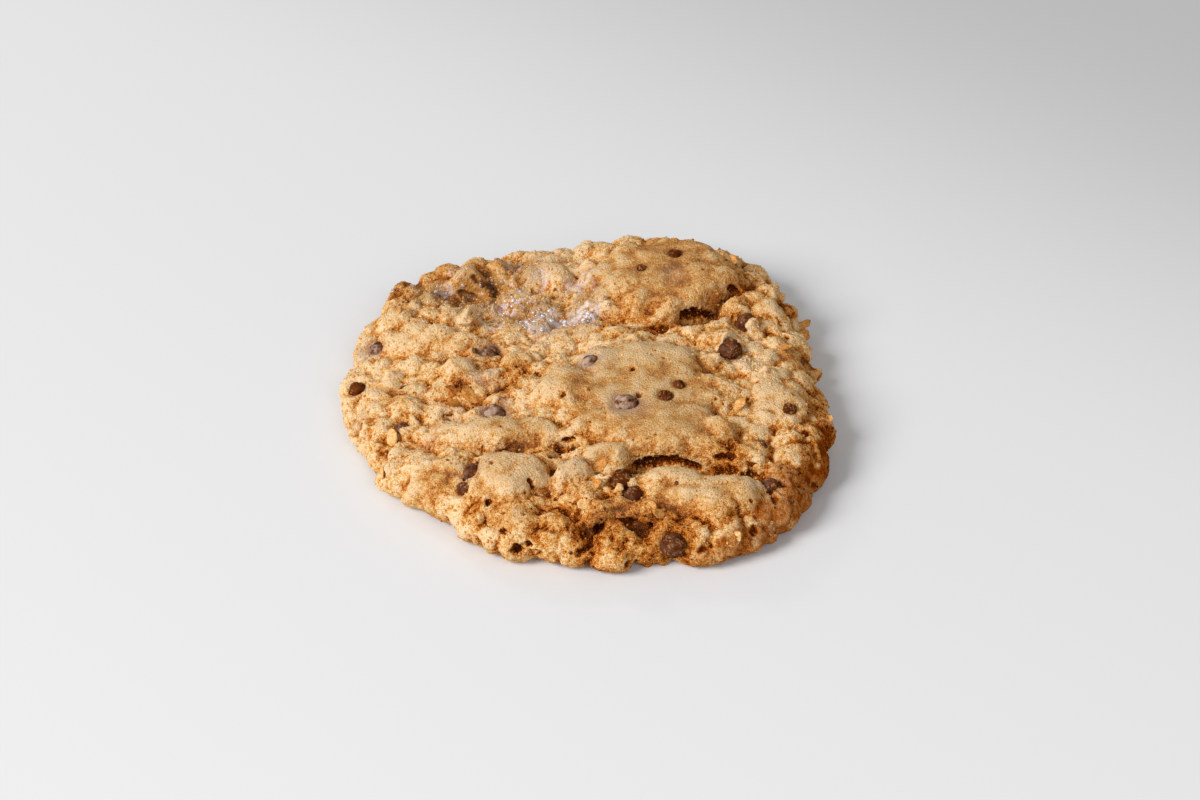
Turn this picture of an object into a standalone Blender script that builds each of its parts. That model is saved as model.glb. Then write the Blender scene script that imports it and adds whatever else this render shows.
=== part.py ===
"""An oatmeal cookie with small chocolate chips, as one solid.

The frame is +Z up with the origin under the middle of the cookie, on the surface it rests on.
Shapes are worked out in millimetres and written to the mesh in metres.
"""

import math

import bmesh
import bpy
import numpy as np
from mathutils import Matrix, Vector, noise

MM = 0.001
SEED = 5

# Driving dimensions, in millimetres
WIDTH = 90.0
PLATEAU_HEIGHT = 8.4
REST_INSET = 3.2

# Outline: radius every 10 degrees, counted from the right-hand side towards the back,
# as a share of half the width
OUTLINE_STEP = 10.0
OUTLINE_SHARES = (
    0.944, 0.918, 0.953, 1.003, 1.056, 1.135, 1.125, 1.152, 1.108, 1.059, 1.022, 1.073,
    1.086, 1.096, 1.067, 1.025, 0.968, 0.972, 0.959, 0.923, 0.884, 0.881, 0.891, 0.856,
    0.893, 0.931, 0.912, 0.933, 0.937, 0.958, 1.052, 1.046, 1.062, 1.034, 1.010, 0.980,
)

# Edge, every 60 degrees from the right: how far in the top starts to fall, and how high the rim is,
# then the share of the rim's height and the inset of each ring below it
EDGE_STEP = 60.0
EDGE_WIDTHS = (9.0, 8.0, 9.0, 14.0, 9.5, 10.5)
RIM_HEIGHTS = (3.0, 4.2, 3.4, 1.8, 2.6, 2.2)
EDGE_ARC = 1.25
EDGE_LEAST_RISE = 0.8
EDGE_FACING_RISE = 2.0
RIM_RINGS = ((0.35, 0.9), (0.0, REST_INSET))

# Broad swells of the top: x, y, radius, height
SWELLS = (
    (15.0, 27.0, 17.0, 2.6),
    (10.0, -4.0, 21.0, 2.2),
    (-16.0, 28.0, 12.0, -1.8),
    (33.0, 2.0, 12.0, 0.8),
    (-34.0, -8.0, 15.0, -1.2),
)

# Plates of crust: x, y, half length, half width, turn in degrees, height of their top, and how smooth
# they are, from 0 to 1
PLATES = (
    (15.0, 30.0, 16.5, 12.5, 2.0, 14.4, 0.8),
    (10.5, -6.5, 15.0, 16.0, 0.0, 12.6, 1.0),
    (11.0, 2.5, 13.0, 7.0, -4.0, 13.7, 0.9),
    (-3.0, -4.0, 6.4, 6.6, 20.0, 13.3, 0.8),
    (13.5, -15.6, 12.5, 6.6, -3.0, 12.9, 1.0),
    (21.5, -31.2, 11.0, 4.6, 6.0, 11.2, 0.7),
    (-12.8, -28.0, 7.6, 5.8, -12.0, 12.2, 0.8),
    (-14.5, -15.2, 11.5, 4.0, -4.0, 11.6, 0.7),
    (-25.6, -25.6, 6.0, 4.4, 12.0, 10.0, 0.5),
    (-27.0, 12.8, 10.5, 3.8, -14.0, 10.2, 0.35),
    (-21.6, 18.2, 2.9, 2.7, 0.0, 10.4, 0.3),
    (-22.3, 2.4, 3.4, 3.0, 10.0, 11.3, 0.5),
    (-12.0, 4.6, 3.0, 2.6, 0.0, 10.9, 0.4),
    (38.0, 8.4, 4.6, 4.2, 30.0, 10.0, 0.5),
    (33.5, 23.2, 4.2, 3.6, -25.0, 11.6, 0.5),
    (34.5, -6.8, 6.6, 8.0, 12.0, 11.4, 0.6),
    (23.8, -16.6, 3.5, 3.0, 0.0, 13.3, 0.6),
    (-20.0, 35.5, 6.5, 2.6, 18.0, 9.6, 0.2),
    (-7.0, 34.5, 5.6, 2.8, -8.0, 10.0, 0.4),
    (-33.5, -1.5, 7.0, 3.4, -38.0, 8.4, 0.4),
    (6.0, -36.5, 6.5, 4.2, 0.0, 9.4, 0.4),
    (4.2, -22.6, 5.6, 2.3, 12.0, 11.9, 0.7),
    (15.8, -28.2, 6.6, 2.7, -4.0, 11.8, 0.8),
    (-2.5, -26.8, 3.2, 2.7, 10.0, 11.7, 0.6),
    (-12.0, -36.0, 5.0, 3.6, 0.0, 9.0, 0.4),
)
PLATE_ROOT = 1.2
PLATE_SQUARENESS = 2.6
PLATE_SHOULDER = 2.4
PLATE_SWELL = 0.55
PLATE_BLEND = 1.5

# Cracks between plates: start x, y, end x, y, half width, depth
CRACKS = (
    (9.6, -24.2, 13.4, -24.4, 1.6, 5.6),
    (13.4, -24.0, 20.0, -23.4, 1.2, 4.8),
    (20.0, -23.6, 31.0, -25.0, 1.3, 2.6),
    (1.0, 16.2, 10.0, 14.8, 0.9, 2.4),
    (10.0, 14.8, 18.5, 16.4, 1.0, 2.6),
    (18.8, 17.4, 24.4, 19.6, 1.7, 5.0),
    (24.4, 21.4, 28.0, 25.0, 1.3, 3.0),
    (-26.0, 31.0, -20.5, 30.5, 2.6, 3.0),
    (-19.5, 37.0, -17.0, 33.0, 1.2, 2.8),
    (-8.4, -31.8, -5.8, -30.6, 1.0, 2.4),
    (-4.4, -18.8, -1.6, -19.6, 0.9, 2.4),
    (-14.2, -20.0, -8.6, -18.8, 0.7, 1.8),
    (14.8, -31.6, 19.6, -32.2, 0.7, 1.6),
    (-22.4, -10.0, -24.0, -9.4, 0.9, 2.0),
    (1.0, -39.0, 10.0, -37.6, 1.6, 3.0),
)

# Unevenness: each wave has a height, a size and a shift of the noise
OUTLINE_WAVES = ((0.8, 7.0, 71.0),)
GROUND_WAVES = ((0.5, 9.0, 0.0),)
WARP_X_WAVES = ((1.3, 6.0, 31.0),)
WARP_Y_WAVES = ((1.3, 6.0, 53.0),)
RAGGED_WAVES = ((0.20, 4.5, 7.0), (0.10, 2.2, 3.0))
BLEND_WAVES = ((1.2, 12.0, 20.0),)

# Crumb lumps that cover the dough: spacing, smallest and largest radius and how much of the radius
# stands up. Small ones are more common. They sink a little so that the plates stand proud.
LUMP_SPACING = 4.6
LUMP_RADII = (1.9, 4.2)
LUMP_SMALLNESS = 1.3
LUMP_HEIGHT_SHARE = 0.58
LUMP_SINK = 0.8
LUMPS_ON_PLATES = 0.18
LUMP_REACH = 1.12
LUMP_FILL = 1.15
GOLDEN_ANGLE = math.pi * (3 - math.sqrt(5))

# Where a plate's smooth crust ends, and over how much of its size it fades
CRUST_REACH = 1.06
CRUST_FADE = 0.55

# Chocolate chips: x, y, diameter, share of the chip that stands out of the dough
CHIPS = (
    (26.4, 7.2, 4.4, 0.62),
    (29.8, 16.6, 4.4, 0.52),
    (6.5, -28.5, 4.3, 0.52),
    (8.6, -31.8, 3.2, 0.42),
    (15.6, -40.2, 4.6, 0.45),
    (14.5, -8.6, 2.8, 0.34),
    (16.9, -5.2, 2.4, 0.30),
    (17.0, 33.5, 3.0, 0.28),
    (10.7, 28.7, 2.0, 0.28),
    (-41.2, 3.2, 3.4, 0.40),
    (-32.3, -10.2, 3.2, 0.34),
    (-19.2, -25.4, 3.4, 0.38),
    (-20.4, -28.6, 3.0, 0.38),
    (-17.3, 9.6, 3.6, 0.30),
    (1.2, 1.8, 3.8, 0.28),
    (7.6, -10.8, 4.6, 0.30),
    (-15.9, -8.6, 4.4, 0.30),
    (36.5, -10.2, 2.8, 0.30),
    (32.4, -27.8, 3.0, 0.30),
    (-38.6, 15.0, 3.4, 0.26),
)
CHIP_FLATNESS = 0.9
CHIP_TURN = 0.7

# The dent round a chip: its depth, and its radius as a share of the chip's diameter
DENT_DEPTH = 0.5
DENT_SHARE = 0.64

# Mesh fineness: rings of the disc, about GRAIN millimetres apart, and detail of a chip
DISC_RINGS = 38
GRAIN = 1.1
CHIP_SUBDIVISIONS = 2
SMOOTHING = 0.2
SHARP_ANGLE = 60.0

CRUST_COLOUR = (0.60, 0.34, 0.13, 1.0)
CRUST_ROUGHNESS = 0.85


def around(step, values, angle):
    """Smooth closed curve through values that stand step degrees apart, read at angle."""
    place = (angle / step) % len(values)
    whole = np.floor(place).astype(int)
    t = place - whole
    table = np.array(values)
    before, first, second, after = (table[(whole + k) % len(values)] for k in (-1, 0, 1, 2))
    return first + 0.5 * t * (
        second - before
        + t * (2 * before - 5 * first + 4 * second - after + t * (3 * (first - second) + after - before))
    )


def wander(x, y, z, size, offset=0.0):
    """Smooth noise from -1 to 1 whose bumps are about size millimetres across."""
    points = np.stack(np.broadcast_arrays(x, y, z), axis=-1).reshape(-1, 3) / size + offset
    values = [noise.noise(Vector(point)) for point in points]
    return np.array(values).reshape(np.shape(x))


def waves(x, y, z, rows):
    """Several noises added up. Each row is a height, a size and a shift."""
    return sum(height * wander(x, y, z, size, shift) for height, size, shift in rows)


def blend_up(low, high, radius):
    """The higher of two surfaces, rounded where they meet over radius millimetres."""
    near = np.maximum(radius - np.abs(low - high), 0) / radius
    return np.maximum(low, high) + near**2 * radius / 4


def crack_closeness(x, y):
    """For each crack how near a point is to it, from 0 far away to 1 along its middle."""
    ragged = 1 + waves(x, y, 0 * x, RAGGED_WAVES)
    for x0, y0, x1, y1, half_width, depth in CRACKS:
        run = (x1 - x0) ** 2 + (y1 - y0) ** 2
        t = np.clip(((x - x0) * (x1 - x0) + (y - y0) * (y1 - y0)) / run, 0, 1)
        away = np.hypot(x - x0 - t * (x1 - x0), y - y0 - t * (y1 - y0)) * ragged / half_width
        yield np.exp(-(away**2)), depth


def top_height(x, y):
    """Height of the top at a point, before the edge rounds it down and the crumbs cover it."""
    x = x + waves(x, y, 0 * x, WARP_X_WAVES)
    y = y + waves(x, y, 0 * x, WARP_Y_WAVES)
    height = np.full(np.shape(x), PLATEAU_HEIGHT)
    for cx, cy, radius, rise in SWELLS:
        height = height + rise * np.exp(-((x - cx) ** 2 + (y - cy) ** 2) / radius**2)
    height = height + waves(x, y, 0 * x, GROUND_WAVES)
    root = height - PLATE_ROOT
    ragged = 1 + waves(x, y, 0 * x, RAGGED_WAVES)
    softness = PLATE_BLEND + waves(x, y, 0 * x, BLEND_WAVES)
    for cx, cy, half_long, half_wide, turn, top, _ in PLATES:
        c, s = math.cos(math.radians(turn)), math.sin(math.radians(turn))
        along = ((x - cx) * c + (y - cy) * s) / half_long
        across = ((y - cy) * c - (x - cx) * s) / half_wide
        power = PLATE_SQUARENESS
        reach = (np.abs(along) ** power + np.abs(across) ** power) ** (1 / power) * ragged
        dome = np.clip(1 - reach**PLATE_SHOULDER, 0, 1) ** PLATE_SWELL
        height = np.where(reach < 1, blend_up(height, root + (top - root) * dome, softness), height)
    for near, depth in crack_closeness(x, y):
        height = height - depth * near
    return height


def outline_radius(angle):
    """How far the cookie reaches from its middle, in millimetres, at an angle in degrees."""
    c, s = np.cos(np.radians(angle)), np.sin(np.radians(angle))
    uneven = waves(c * WIDTH / 2, s * WIDTH / 2, 0 * c, OUTLINE_WAVES)
    return WIDTH / 2 * around(OUTLINE_STEP, OUTLINE_SHARES, angle) + uneven


def edge_fall(out, angle):
    """How far round the edge a point is, from 0 on the top to a quarter turn at the rim."""
    edge = around(EDGE_STEP, EDGE_WIDTHS, angle)
    return np.arcsin(np.clip((out - outline_radius(angle) + edge) / edge, 0, 1))


def bare_dough(out, angle):
    """Point on the cookie without its crumbs, in millimetres, and the way that its surface faces.

    out is the distance from the middle, in millimetres, and angle is in degrees.
    """
    edge = around(EDGE_STEP, EDGE_WIDTHS, angle)
    rim = around(EDGE_STEP, RIM_HEIGHTS, angle)
    fall = edge_fall(out, angle)
    c, s = np.cos(np.radians(angle)), np.sin(np.radians(angle))
    x, y = out * c, out * s
    near = GRAIN * np.array([-0.5, 0.5])
    top = np.mean([top_height(x + dx, y + dy) for dx in near for dy in near], axis=0)
    z = rim + np.maximum(top - rim, EDGE_LEAST_RISE) * np.cos(fall)
    slope = np.maximum(top - rim, EDGE_FACING_RISE) / edge
    facing = np.stack([c * np.sin(fall) * slope, s * np.sin(fall) * slope, np.cos(fall)], axis=-1)
    facing /= np.linalg.norm(facing, axis=-1, keepdims=True)
    return np.stack([x, y, z], axis=-1), facing


def distance_out(share, angle):
    """Distance from the middle for shares from 0 to 1, spread evenly over the top and down the edge."""
    radius = outline_radius(angle)
    edge = around(EDGE_STEP, EDGE_WIDTHS, angle)
    arc = edge * EDGE_ARC
    way = share * (radius - edge + arc)
    fall = np.clip((way - radius + edge) / arc, 0, 1) * math.pi / 2
    return np.minimum(way, radius - edge) + edge * np.sin(fall)


def lump_centres(rng):
    """Places of the crumb lumps: an even spiral over the top and the edge, each one nudged."""
    reach = WIDTH / 2 * LUMP_REACH
    count = int(math.pi * reach**2 / LUMP_SPACING**2 * LUMP_FILL)
    number = np.arange(count) + 0.5
    share = np.sqrt(number / count)
    angle = np.degrees(number * GOLDEN_ANGLE) % 360
    nudge = LUMP_SPACING / reach / 2
    share = np.clip(share + rng.uniform(-nudge, nudge, count), 0, 1)
    angle = angle + np.degrees(rng.uniform(-nudge, nudge, count) / np.maximum(share, 0.1))
    points, _ = bare_dough(distance_out(share, angle), angle)
    return points


def chip_places():
    """Middle of each chip, sunk into the bare dough along the way that the surface faces."""
    x, y, diameter, standing = np.array(CHIPS).T
    points, facing = bare_dough(np.hypot(x, y), np.degrees(np.arctan2(y, x)) % 360)
    return points + facing * (diameter * (standing - 0.5))[:, None]


def chip_dents(points):
    """0 away from the chips, rising to 1 beside them."""
    dent = np.zeros(len(points))
    for place, chip in zip(chip_places(), CHIPS):
        away = np.linalg.norm(points - place, axis=1) / (chip[2] * DENT_SHARE)
        dent = np.maximum(dent, np.exp(-(away**4)))
    return dent


def smoothness(x, y):
    """1 on the smooth crust of the plates and 0 between them."""
    smooth = np.zeros(np.shape(x))
    for cx, cy, half_long, half_wide, turn, _, crust in PLATES:
        c, s = math.cos(math.radians(turn)), math.sin(math.radians(turn))
        along = ((x - cx) * c + (y - cy) * s) / half_long
        across = ((y - cy) * c - (x - cx) * s) / half_wide
        inside = np.clip((CRUST_REACH - np.hypot(along, across)) / CRUST_FADE, 0, 1)
        smooth = np.maximum(smooth, crust * inside)
    return smooth


def crumb_relief(points, centres, radii):
    """How far the crumb lumps lift each point off the bare dough."""
    lift = np.zeros(len(points))
    for centre, radius in zip(centres, radii):
        away = np.linalg.norm(points - centre, axis=1) / radius
        lift = np.maximum(lift, radius * LUMP_HEIGHT_SHARE * np.sqrt(np.clip(1 - away**2, 0, 1)))
    return lift


def dough_mesh():
    """The dough as a closed bmesh: a ringed disc bent over the edge, with its wall and flat rest."""
    rng = np.random.default_rng(SEED)
    bm = bmesh.new()
    bmesh.ops.create_circle(bm, cap_ends=True, cap_tris=True, segments=6, radius=1.0)
    bmesh.ops.subdivide_edges(bm, edges=bm.edges[:], cuts=DISC_RINGS - 1, use_grid_fill=True)
    bmesh.ops.triangulate(bm, faces=bm.faces[:])

    flat = np.array([v.co for v in bm.verts], float)
    angle = np.degrees(np.arctan2(flat[:, 1], flat[:, 0])) % 360
    corner = np.radians((angle + 30) % 60 - 30)
    share = np.hypot(flat[:, 0], flat[:, 1]) * np.cos(corner) / math.cos(math.radians(30))
    bare, facing = bare_dough(distance_out(np.clip(share, 0, 1), angle), angle)

    centres = lump_centres(rng)
    smallest, largest = LUMP_RADII
    radii = smallest + (largest - smallest) * rng.uniform(0, 1, len(centres)) ** LUMP_SMALLNESS
    in_crack = np.max([near for near, _ in crack_closeness(bare[:, 0], bare[:, 1])], axis=0)
    lumpy = (1 - (1 - LUMPS_ON_PLATES) * smoothness(bare[:, 0], bare[:, 1])) * (1 - in_crack)
    dents = chip_dents(bare)
    sink = LUMP_SINK * facing[:, 2] ** 2
    lift = (crumb_relief(bare, centres, radii) - sink) * lumpy * (1 - dents) - DENT_DEPTH * dents
    shaped = bare + facing * lift[:, None]
    for vert, place in zip(bm.verts, shaped):
        vert.co = Vector(place)
    bmesh.ops.smooth_vert(
        bm, verts=bm.verts[:], factor=SMOOTHING, use_axis_x=True, use_axis_y=True, use_axis_z=True
    )

    rim = [edge for edge in bm.edges if edge.is_boundary]
    for height_share, inset in RIM_RINGS:
        made = bmesh.ops.extrude_edge_only(bm, edges=rim)["geom"]
        ring = [part for part in made if isinstance(part, bmesh.types.BMVert)]
        rim = [part for part in made if isinstance(part, bmesh.types.BMEdge) and part.is_boundary]
        for vert in ring:
            away = Vector((vert.co.x, vert.co.y, 0)).normalized()
            vert.co -= away * inset
            vert.co.z *= height_share
    bmesh.ops.edgeloop_fill(bm, edges=rim)
    bmesh.ops.recalc_face_normals(bm, faces=bm.faces[:])
    bmesh.ops.scale(bm, vec=(MM, MM, MM), verts=bm.verts[:])
    return bm


def add_object(name, bm, collection):
    mesh = bpy.data.meshes.new(name)
    bm.to_mesh(mesh)
    bm.free()
    obj = bpy.data.objects.new(name, mesh)
    collection.objects.link(obj)
    return obj


def chip_mesh(place, diameter, turn):
    """One chocolate chip: a drop, rounder below than above."""
    bm = bmesh.new()
    bmesh.ops.create_icosphere(bm, subdivisions=CHIP_SUBDIVISIONS, radius=diameter / 2 * MM)
    for vert in bm.verts:
        if vert.co.z > 0:
            vert.co.z *= CHIP_FLATNESS
    bmesh.ops.rotate(bm, verts=bm.verts[:], matrix=Matrix.Rotation(turn, 3, "Z"))
    bmesh.ops.translate(bm, verts=bm.verts[:], vec=place)
    return bm


def crust_material():
    material = bpy.data.materials.new("baked_crust")
    material.use_nodes = True
    shader = material.node_tree.nodes["Principled BSDF"]
    shader.inputs["Base Color"].default_value = CRUST_COLOUR
    shader.inputs["Roughness"].default_value = CRUST_ROUGHNESS
    shader.inputs["Metallic"].default_value = 0.0
    return material


def build():
    for old in list(bpy.data.objects):
        bpy.data.objects.remove(old)
    scene_collection = bpy.context.scene.collection

    cookie = add_object("cookie", dough_mesh(), scene_collection)

    chips = bpy.data.collections.new("chips")
    scene_collection.children.link(chips)
    for number, (place, chip) in enumerate(zip(chip_places(), CHIPS)):
        middle = Vector(place) * MM
        add_object(f"chip_{number + 1:02d}", chip_mesh(middle, chip[2], number * CHIP_TURN), chips)

    joined = cookie.modifiers.new("chips", "BOOLEAN")
    joined.operation = "UNION"
    joined.operand_type = "COLLECTION"
    joined.collection = chips
    joined.solver = "MANIFOLD"
    bpy.context.view_layer.update()
    graph = bpy.context.evaluated_depsgraph_get()
    whole = bpy.data.meshes.new_from_object(cookie.evaluated_get(graph))
    cookie.modifiers.clear()
    cookie.data = whole
    for chip in list(chips.objects):
        bpy.data.objects.remove(chip)
    bpy.data.collections.remove(chips)

    cookie.data.materials.clear()
    cookie.data.materials.append(crust_material())
    cookie.data.shade_smooth()
    cookie.data.set_sharp_from_angle(angle=math.radians(SHARP_ANGLE))


build()
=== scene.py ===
"""Looks of an oatmeal cookie with small chocolate chips.

The dough repeats the solid's form from the same named sizes and adds its crags, crumbs, flakes, chips and
glaze. Shapes are worked out in millimetres and written to the meshes in metres.
"""

import math

import bmesh
import bpy
import numpy as np
from mathutils import Matrix, Vector, kdtree, noise


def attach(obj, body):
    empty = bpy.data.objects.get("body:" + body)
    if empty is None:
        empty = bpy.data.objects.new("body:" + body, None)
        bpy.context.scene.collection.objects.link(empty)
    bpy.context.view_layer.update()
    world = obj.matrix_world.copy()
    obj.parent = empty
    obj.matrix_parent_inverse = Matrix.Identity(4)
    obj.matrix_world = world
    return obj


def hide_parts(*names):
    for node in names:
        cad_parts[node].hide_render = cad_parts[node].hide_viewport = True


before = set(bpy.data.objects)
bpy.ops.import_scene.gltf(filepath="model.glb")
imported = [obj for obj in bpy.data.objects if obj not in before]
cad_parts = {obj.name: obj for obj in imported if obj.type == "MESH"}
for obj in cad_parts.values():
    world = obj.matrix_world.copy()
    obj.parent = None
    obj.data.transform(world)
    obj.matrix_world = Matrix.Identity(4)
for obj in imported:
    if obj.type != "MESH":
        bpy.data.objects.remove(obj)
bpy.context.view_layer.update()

MM = 0.001
SEED = 5
SCATTER_SEED = 23

# Form of the cookie, in millimetres, as in the solid
WIDTH = 90.0
PLATEAU_HEIGHT = 8.4
REST_INSET = 3.2
OUTLINE_STEP = 10.0
OUTLINE_SHARES = (
    0.944, 0.918, 0.953, 1.003, 1.056, 1.135, 1.125, 1.152, 1.108, 1.059, 1.022, 1.073,
    1.086, 1.096, 1.067, 1.025, 0.968, 0.972, 0.959, 0.923, 0.884, 0.881, 0.891, 0.856,
    0.893, 0.931, 0.912, 0.933, 0.937, 0.958, 1.052, 1.046, 1.062, 1.034, 1.010, 0.980,
)
EDGE_STEP = 60.0
EDGE_WIDTHS = (9.0, 8.0, 9.0, 14.0, 9.5, 10.5)
RIM_HEIGHTS = (3.0, 4.2, 3.4, 1.8, 2.6, 2.2)
EDGE_ARC = 1.25
EDGE_LEAST_RISE = 0.8
EDGE_FACING_RISE = 2.0
RIM_RINGS = ((0.35, 0.9), (0.0, REST_INSET))
SWELLS = (
    (15, 27, 17, 2.6), (10, -4, 21, 2.2), (-16, 28, 12, -1.8), (33, 2, 12, 0.8), (-34, -8, 15, -1.2),
)
PLATES = (
    (15, 30, 16.5, 12.5, 2, 14.4, 0.8),
    (10.5, -6.5, 15, 16, 0, 12.6, 1),
    (11, 2.5, 13, 7, -4, 13.7, 0.9),
    (-3, -4, 6.4, 6.6, 20, 13.3, 0.8),
    (13.5, -15.6, 12.5, 6.6, -3, 12.9, 1),
    (21.5, -31.2, 11, 4.6, 6, 11.2, 0.7),
    (-12.8, -28, 7.6, 5.8, -12, 12.2, 0.8),
    (-14.5, -15.2, 11.5, 4, -4, 11.6, 0.7),
    (-25.6, -25.6, 6, 4.4, 12, 10, 0.5),
    (-27, 12.8, 10.5, 3.8, -14, 10.2, 0.35),
    (-21.6, 18.2, 2.9, 2.7, 0, 10.4, 0.3),
    (-22.3, 2.4, 3.4, 3, 10, 11.3, 0.5),
    (-12, 4.6, 3, 2.6, 0, 10.9, 0.4),
    (38, 8.4, 4.6, 4.2, 30, 10, 0.5),
    (33.5, 23.2, 4.2, 3.6, -25, 11.6, 0.5),
    (34.5, -6.8, 6.6, 8, 12, 11.4, 0.6),
    (23.8, -16.6, 3.5, 3, 0, 13.3, 0.6),
    (-20, 35.5, 6.5, 2.6, 18, 9.6, 0.2),
    (-7, 34.5, 5.6, 2.8, -8, 10, 0.4),
    (-33.5, -1.5, 7, 3.4, -38, 8.4, 0.4),
    (6, -36.5, 6.5, 4.2, 0, 9.4, 0.4),
    (4.2, -22.6, 5.6, 2.3, 12, 11.9, 0.7),
    (15.8, -28.2, 6.6, 2.7, -4, 11.8, 0.8),
    (-2.5, -26.8, 3.2, 2.7, 10, 11.7, 0.6),
    (-12, -36, 5, 3.6, 0, 9, 0.4),
)
PLATE_ROOT = 1.2
PLATE_SQUARENESS = 2.6
PLATE_SHOULDER = 2.4
PLATE_SWELL = 0.55
PLATE_BLEND = 1.5
CRACKS = (
    (9.6, -24.2, 13.4, -24.4, 1.6, 5.6), (13.4, -24, 20, -23.4, 1.2, 4.8),
    (20, -23.6, 31, -25, 1.3, 2.6), (1, 16.2, 10, 14.8, 0.9, 2.4), (10, 14.8, 18.5, 16.4, 1, 2.6),
    (18.8, 17.4, 24.4, 19.6, 1.7, 5), (24.4, 21.4, 28, 25, 1.3, 3), (-26, 31, -20.5, 30.5, 2.6, 3),
    (-19.5, 37, -17, 33, 1.2, 2.8), (-8.4, -31.8, -5.8, -30.6, 1, 2.4),
    (-4.4, -18.8, -1.6, -19.6, 0.9, 2.4), (-14.2, -20, -8.6, -18.8, 0.7, 1.8),
    (14.8, -31.6, 19.6, -32.2, 0.7, 1.6), (-22.4, -10, -24, -9.4, 0.9, 2), (1, -39, 10, -37.6, 1.6, 3),
)
OUTLINE_WAVES = ((0.8, 7.0, 71.0),)
GROUND_WAVES = ((0.5, 9.0, 0.0),)
WARP_X_WAVES = ((1.3, 6.0, 31.0),)
WARP_Y_WAVES = ((1.3, 6.0, 53.0),)
RAGGED_WAVES = ((0.20, 4.5, 7.0), (0.10, 2.2, 3.0))
BLEND_WAVES = ((1.2, 12.0, 20.0),)
LUMP_SPACING = 4.6
LUMP_RADII = (1.9, 4.2)
LUMP_SMALLNESS = 1.3
LUMP_SINK = 0.8
LUMPS_ON_PLATES = 0.18
LUMP_REACH = 1.12
LUMP_FILL = 1.15
LUMP_FAR = 9.0
GOLDEN_ANGLE = math.pi * (3 - math.sqrt(5))

# Chocolate chips: x, y, diameter, share standing out, and how much pale bloom veils them
CHIPS = (
    (26.4, 7.2, 4.4, 0.62, 0.15),
    (29.8, 16.6, 4.4, 0.52, 0.1),
    (6.5, -28.5, 4.3, 0.52, 0),
    (8.6, -31.8, 3.2, 0.42, 0.1),
    (15.6, -40.2, 4.6, 0.45, 0.1),
    (14.5, -8.6, 2.8, 0.34, 0),
    (16.9, -5.2, 2.4, 0.3, 0),
    (17, 33.5, 3, 0.28, 0),
    (10.7, 28.7, 2, 0.28, 0),
    (-41.2, 3.2, 3.4, 0.4, 0),
    (-32.3, -10.2, 3.2, 0.34, 0.2),
    (-19.2, -25.4, 3.4, 0.38, 0.2),
    (-20.4, -28.6, 3, 0.38, 0.1),
    (-17.3, 9.6, 3.6, 0.3, 0.7),
    (1.2, 1.8, 3.8, 0.28, 1),
    (7.6, -10.8, 4.6, 0.3, 1),
    (-15.9, -8.6, 4.4, 0.3, 1),
    (36.5, -10.2, 2.8, 0.3, 0),
    (32.4, -27.8, 3, 0.3, 0.2),
    (-38.6, 15, 3.4, 0.26, 1),
)
DENT_DEPTH = 0.5
DENT_SHARE = 0.64

# Fineness of the dough's surface, in millimetres
DISC_RINGS = 112
GRAIN = 0.45
VOXEL = 0.34
MOST_TRIANGLES = 190000
UNDERSIDE_SHARE = 0.15
REST_BELOW = 0.1
FLATTENED_BELOW = 0.22

# Where a plate's smooth crust ends, as shares of the plate's size, and how its edge wanders
CRUST_REACH = 1.06
CRUST_FADE = 0.55
CRUST_WARP_X = ((0.9, 3.0, 81.0), (0.5, 1.3, 17.0))
CRUST_WARP_Y = ((0.9, 3.0, 47.0), (0.5, 1.3, 29.0))

# How far the deep end of a crack reaches back under the plate behind it
CRACK_UNDERCUT = 1.4

# Crumb lumps, and the clumps pressed in between them
CRUMB_HEIGHT_SHARE = 0.56
CRUMB_GROOVE = 0.34
CRUMB_GROOVE_WIDTH = 0.11
CRUMB_PROFILE = 0.7
CRUMB_WARPS = ((1.2, 2.6), (0.45, 1.2))
CARAMEL_FLATTENING = 0.55
CLUMP_COUNT = 190
CLUMP_RADII = (1.0, 2.6)
CLUMP_SMALLNESS = 1.8
CLUMP_SUNK = (0.55, 0.9)
CLUMP_CLEARANCE = 0.9
CLUMPS_OFF_PLATES = 0.93
CLUMPS_ON_SIDES = 0.6
CLUMPS_ABOVE = 0.8
PORE_COUNT = 90
PORE_RADII = (0.20, 0.46)
PORE_DEPTH = 1.2
HOLE_DEPTH = 1.4
PIT_SPACING = 0.6
PIT_REACH = 1.3
PIT_RAGGED = 0.45
PIT_RAGGED_SIZE = 0.7

# Fine relief, in millimetres: height, size and shift of each layer
COBBLES = ((0.15, 2.6, 0.0), (0.17, 1.25, 9.0))
COBBLE_MIDDLE = 0.6
COBBLE_STEEPNESS = 2.2
COBBLE_WARP = 0.5
COBBLE_WARP_SIZE = 1.6
CRUMB_WAVES = ((0.14, 2.4, 12.0), (0.12, 0.95, 9.0))
CRUST_WAVES = ((0.48, 5.0, 2.0), (0.20, 2.2, 3.0))
CRUMBS_ON_CRUST = 0.25
SKIN_ROUNDS = 1
CRUST_ROUNDS = 5

# Loose shapes: how many there are, their first number, subdivisions, unevenness and squash
CLUMP_SHAPES = (16, 0, 3, 0.42, 0.8)
CHIP_SHAPES = (5, 40, 4, 0.16, 0.92)
SPECK_SHAPES = (4, 60, 2, 0.5, 0.6)
GRAIN_SHAPES = (12, 80, 1, 0.35, 1.0)
BEAD_SHAPES = (6, 100, 2, 0.18, 0.7)
FLAKE_SHAPES = 6
CRUMB_BUMPS = 1.1
CRUMB_BUMP_SHIFT = 7.3
CRUMB_CHOPS = 1.3
CRUMB_CHOP_SHIFT = 3.1
CRUMB_CHOPPING = 0.6
FLAKE_CREASE = 0.05
FLAKE_CREASE_WIDTH = 0.07
FLAKE_CURLS = (0.5, 0.6, 0.7)
FLAKE_CUPPING = 0.35
FLAKE_BEND = 0.5
FLAKE_THICKNESS = 0.16
FLAKE_WAVE = 0.10
FLAKE_RAGGED = 0.22

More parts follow.
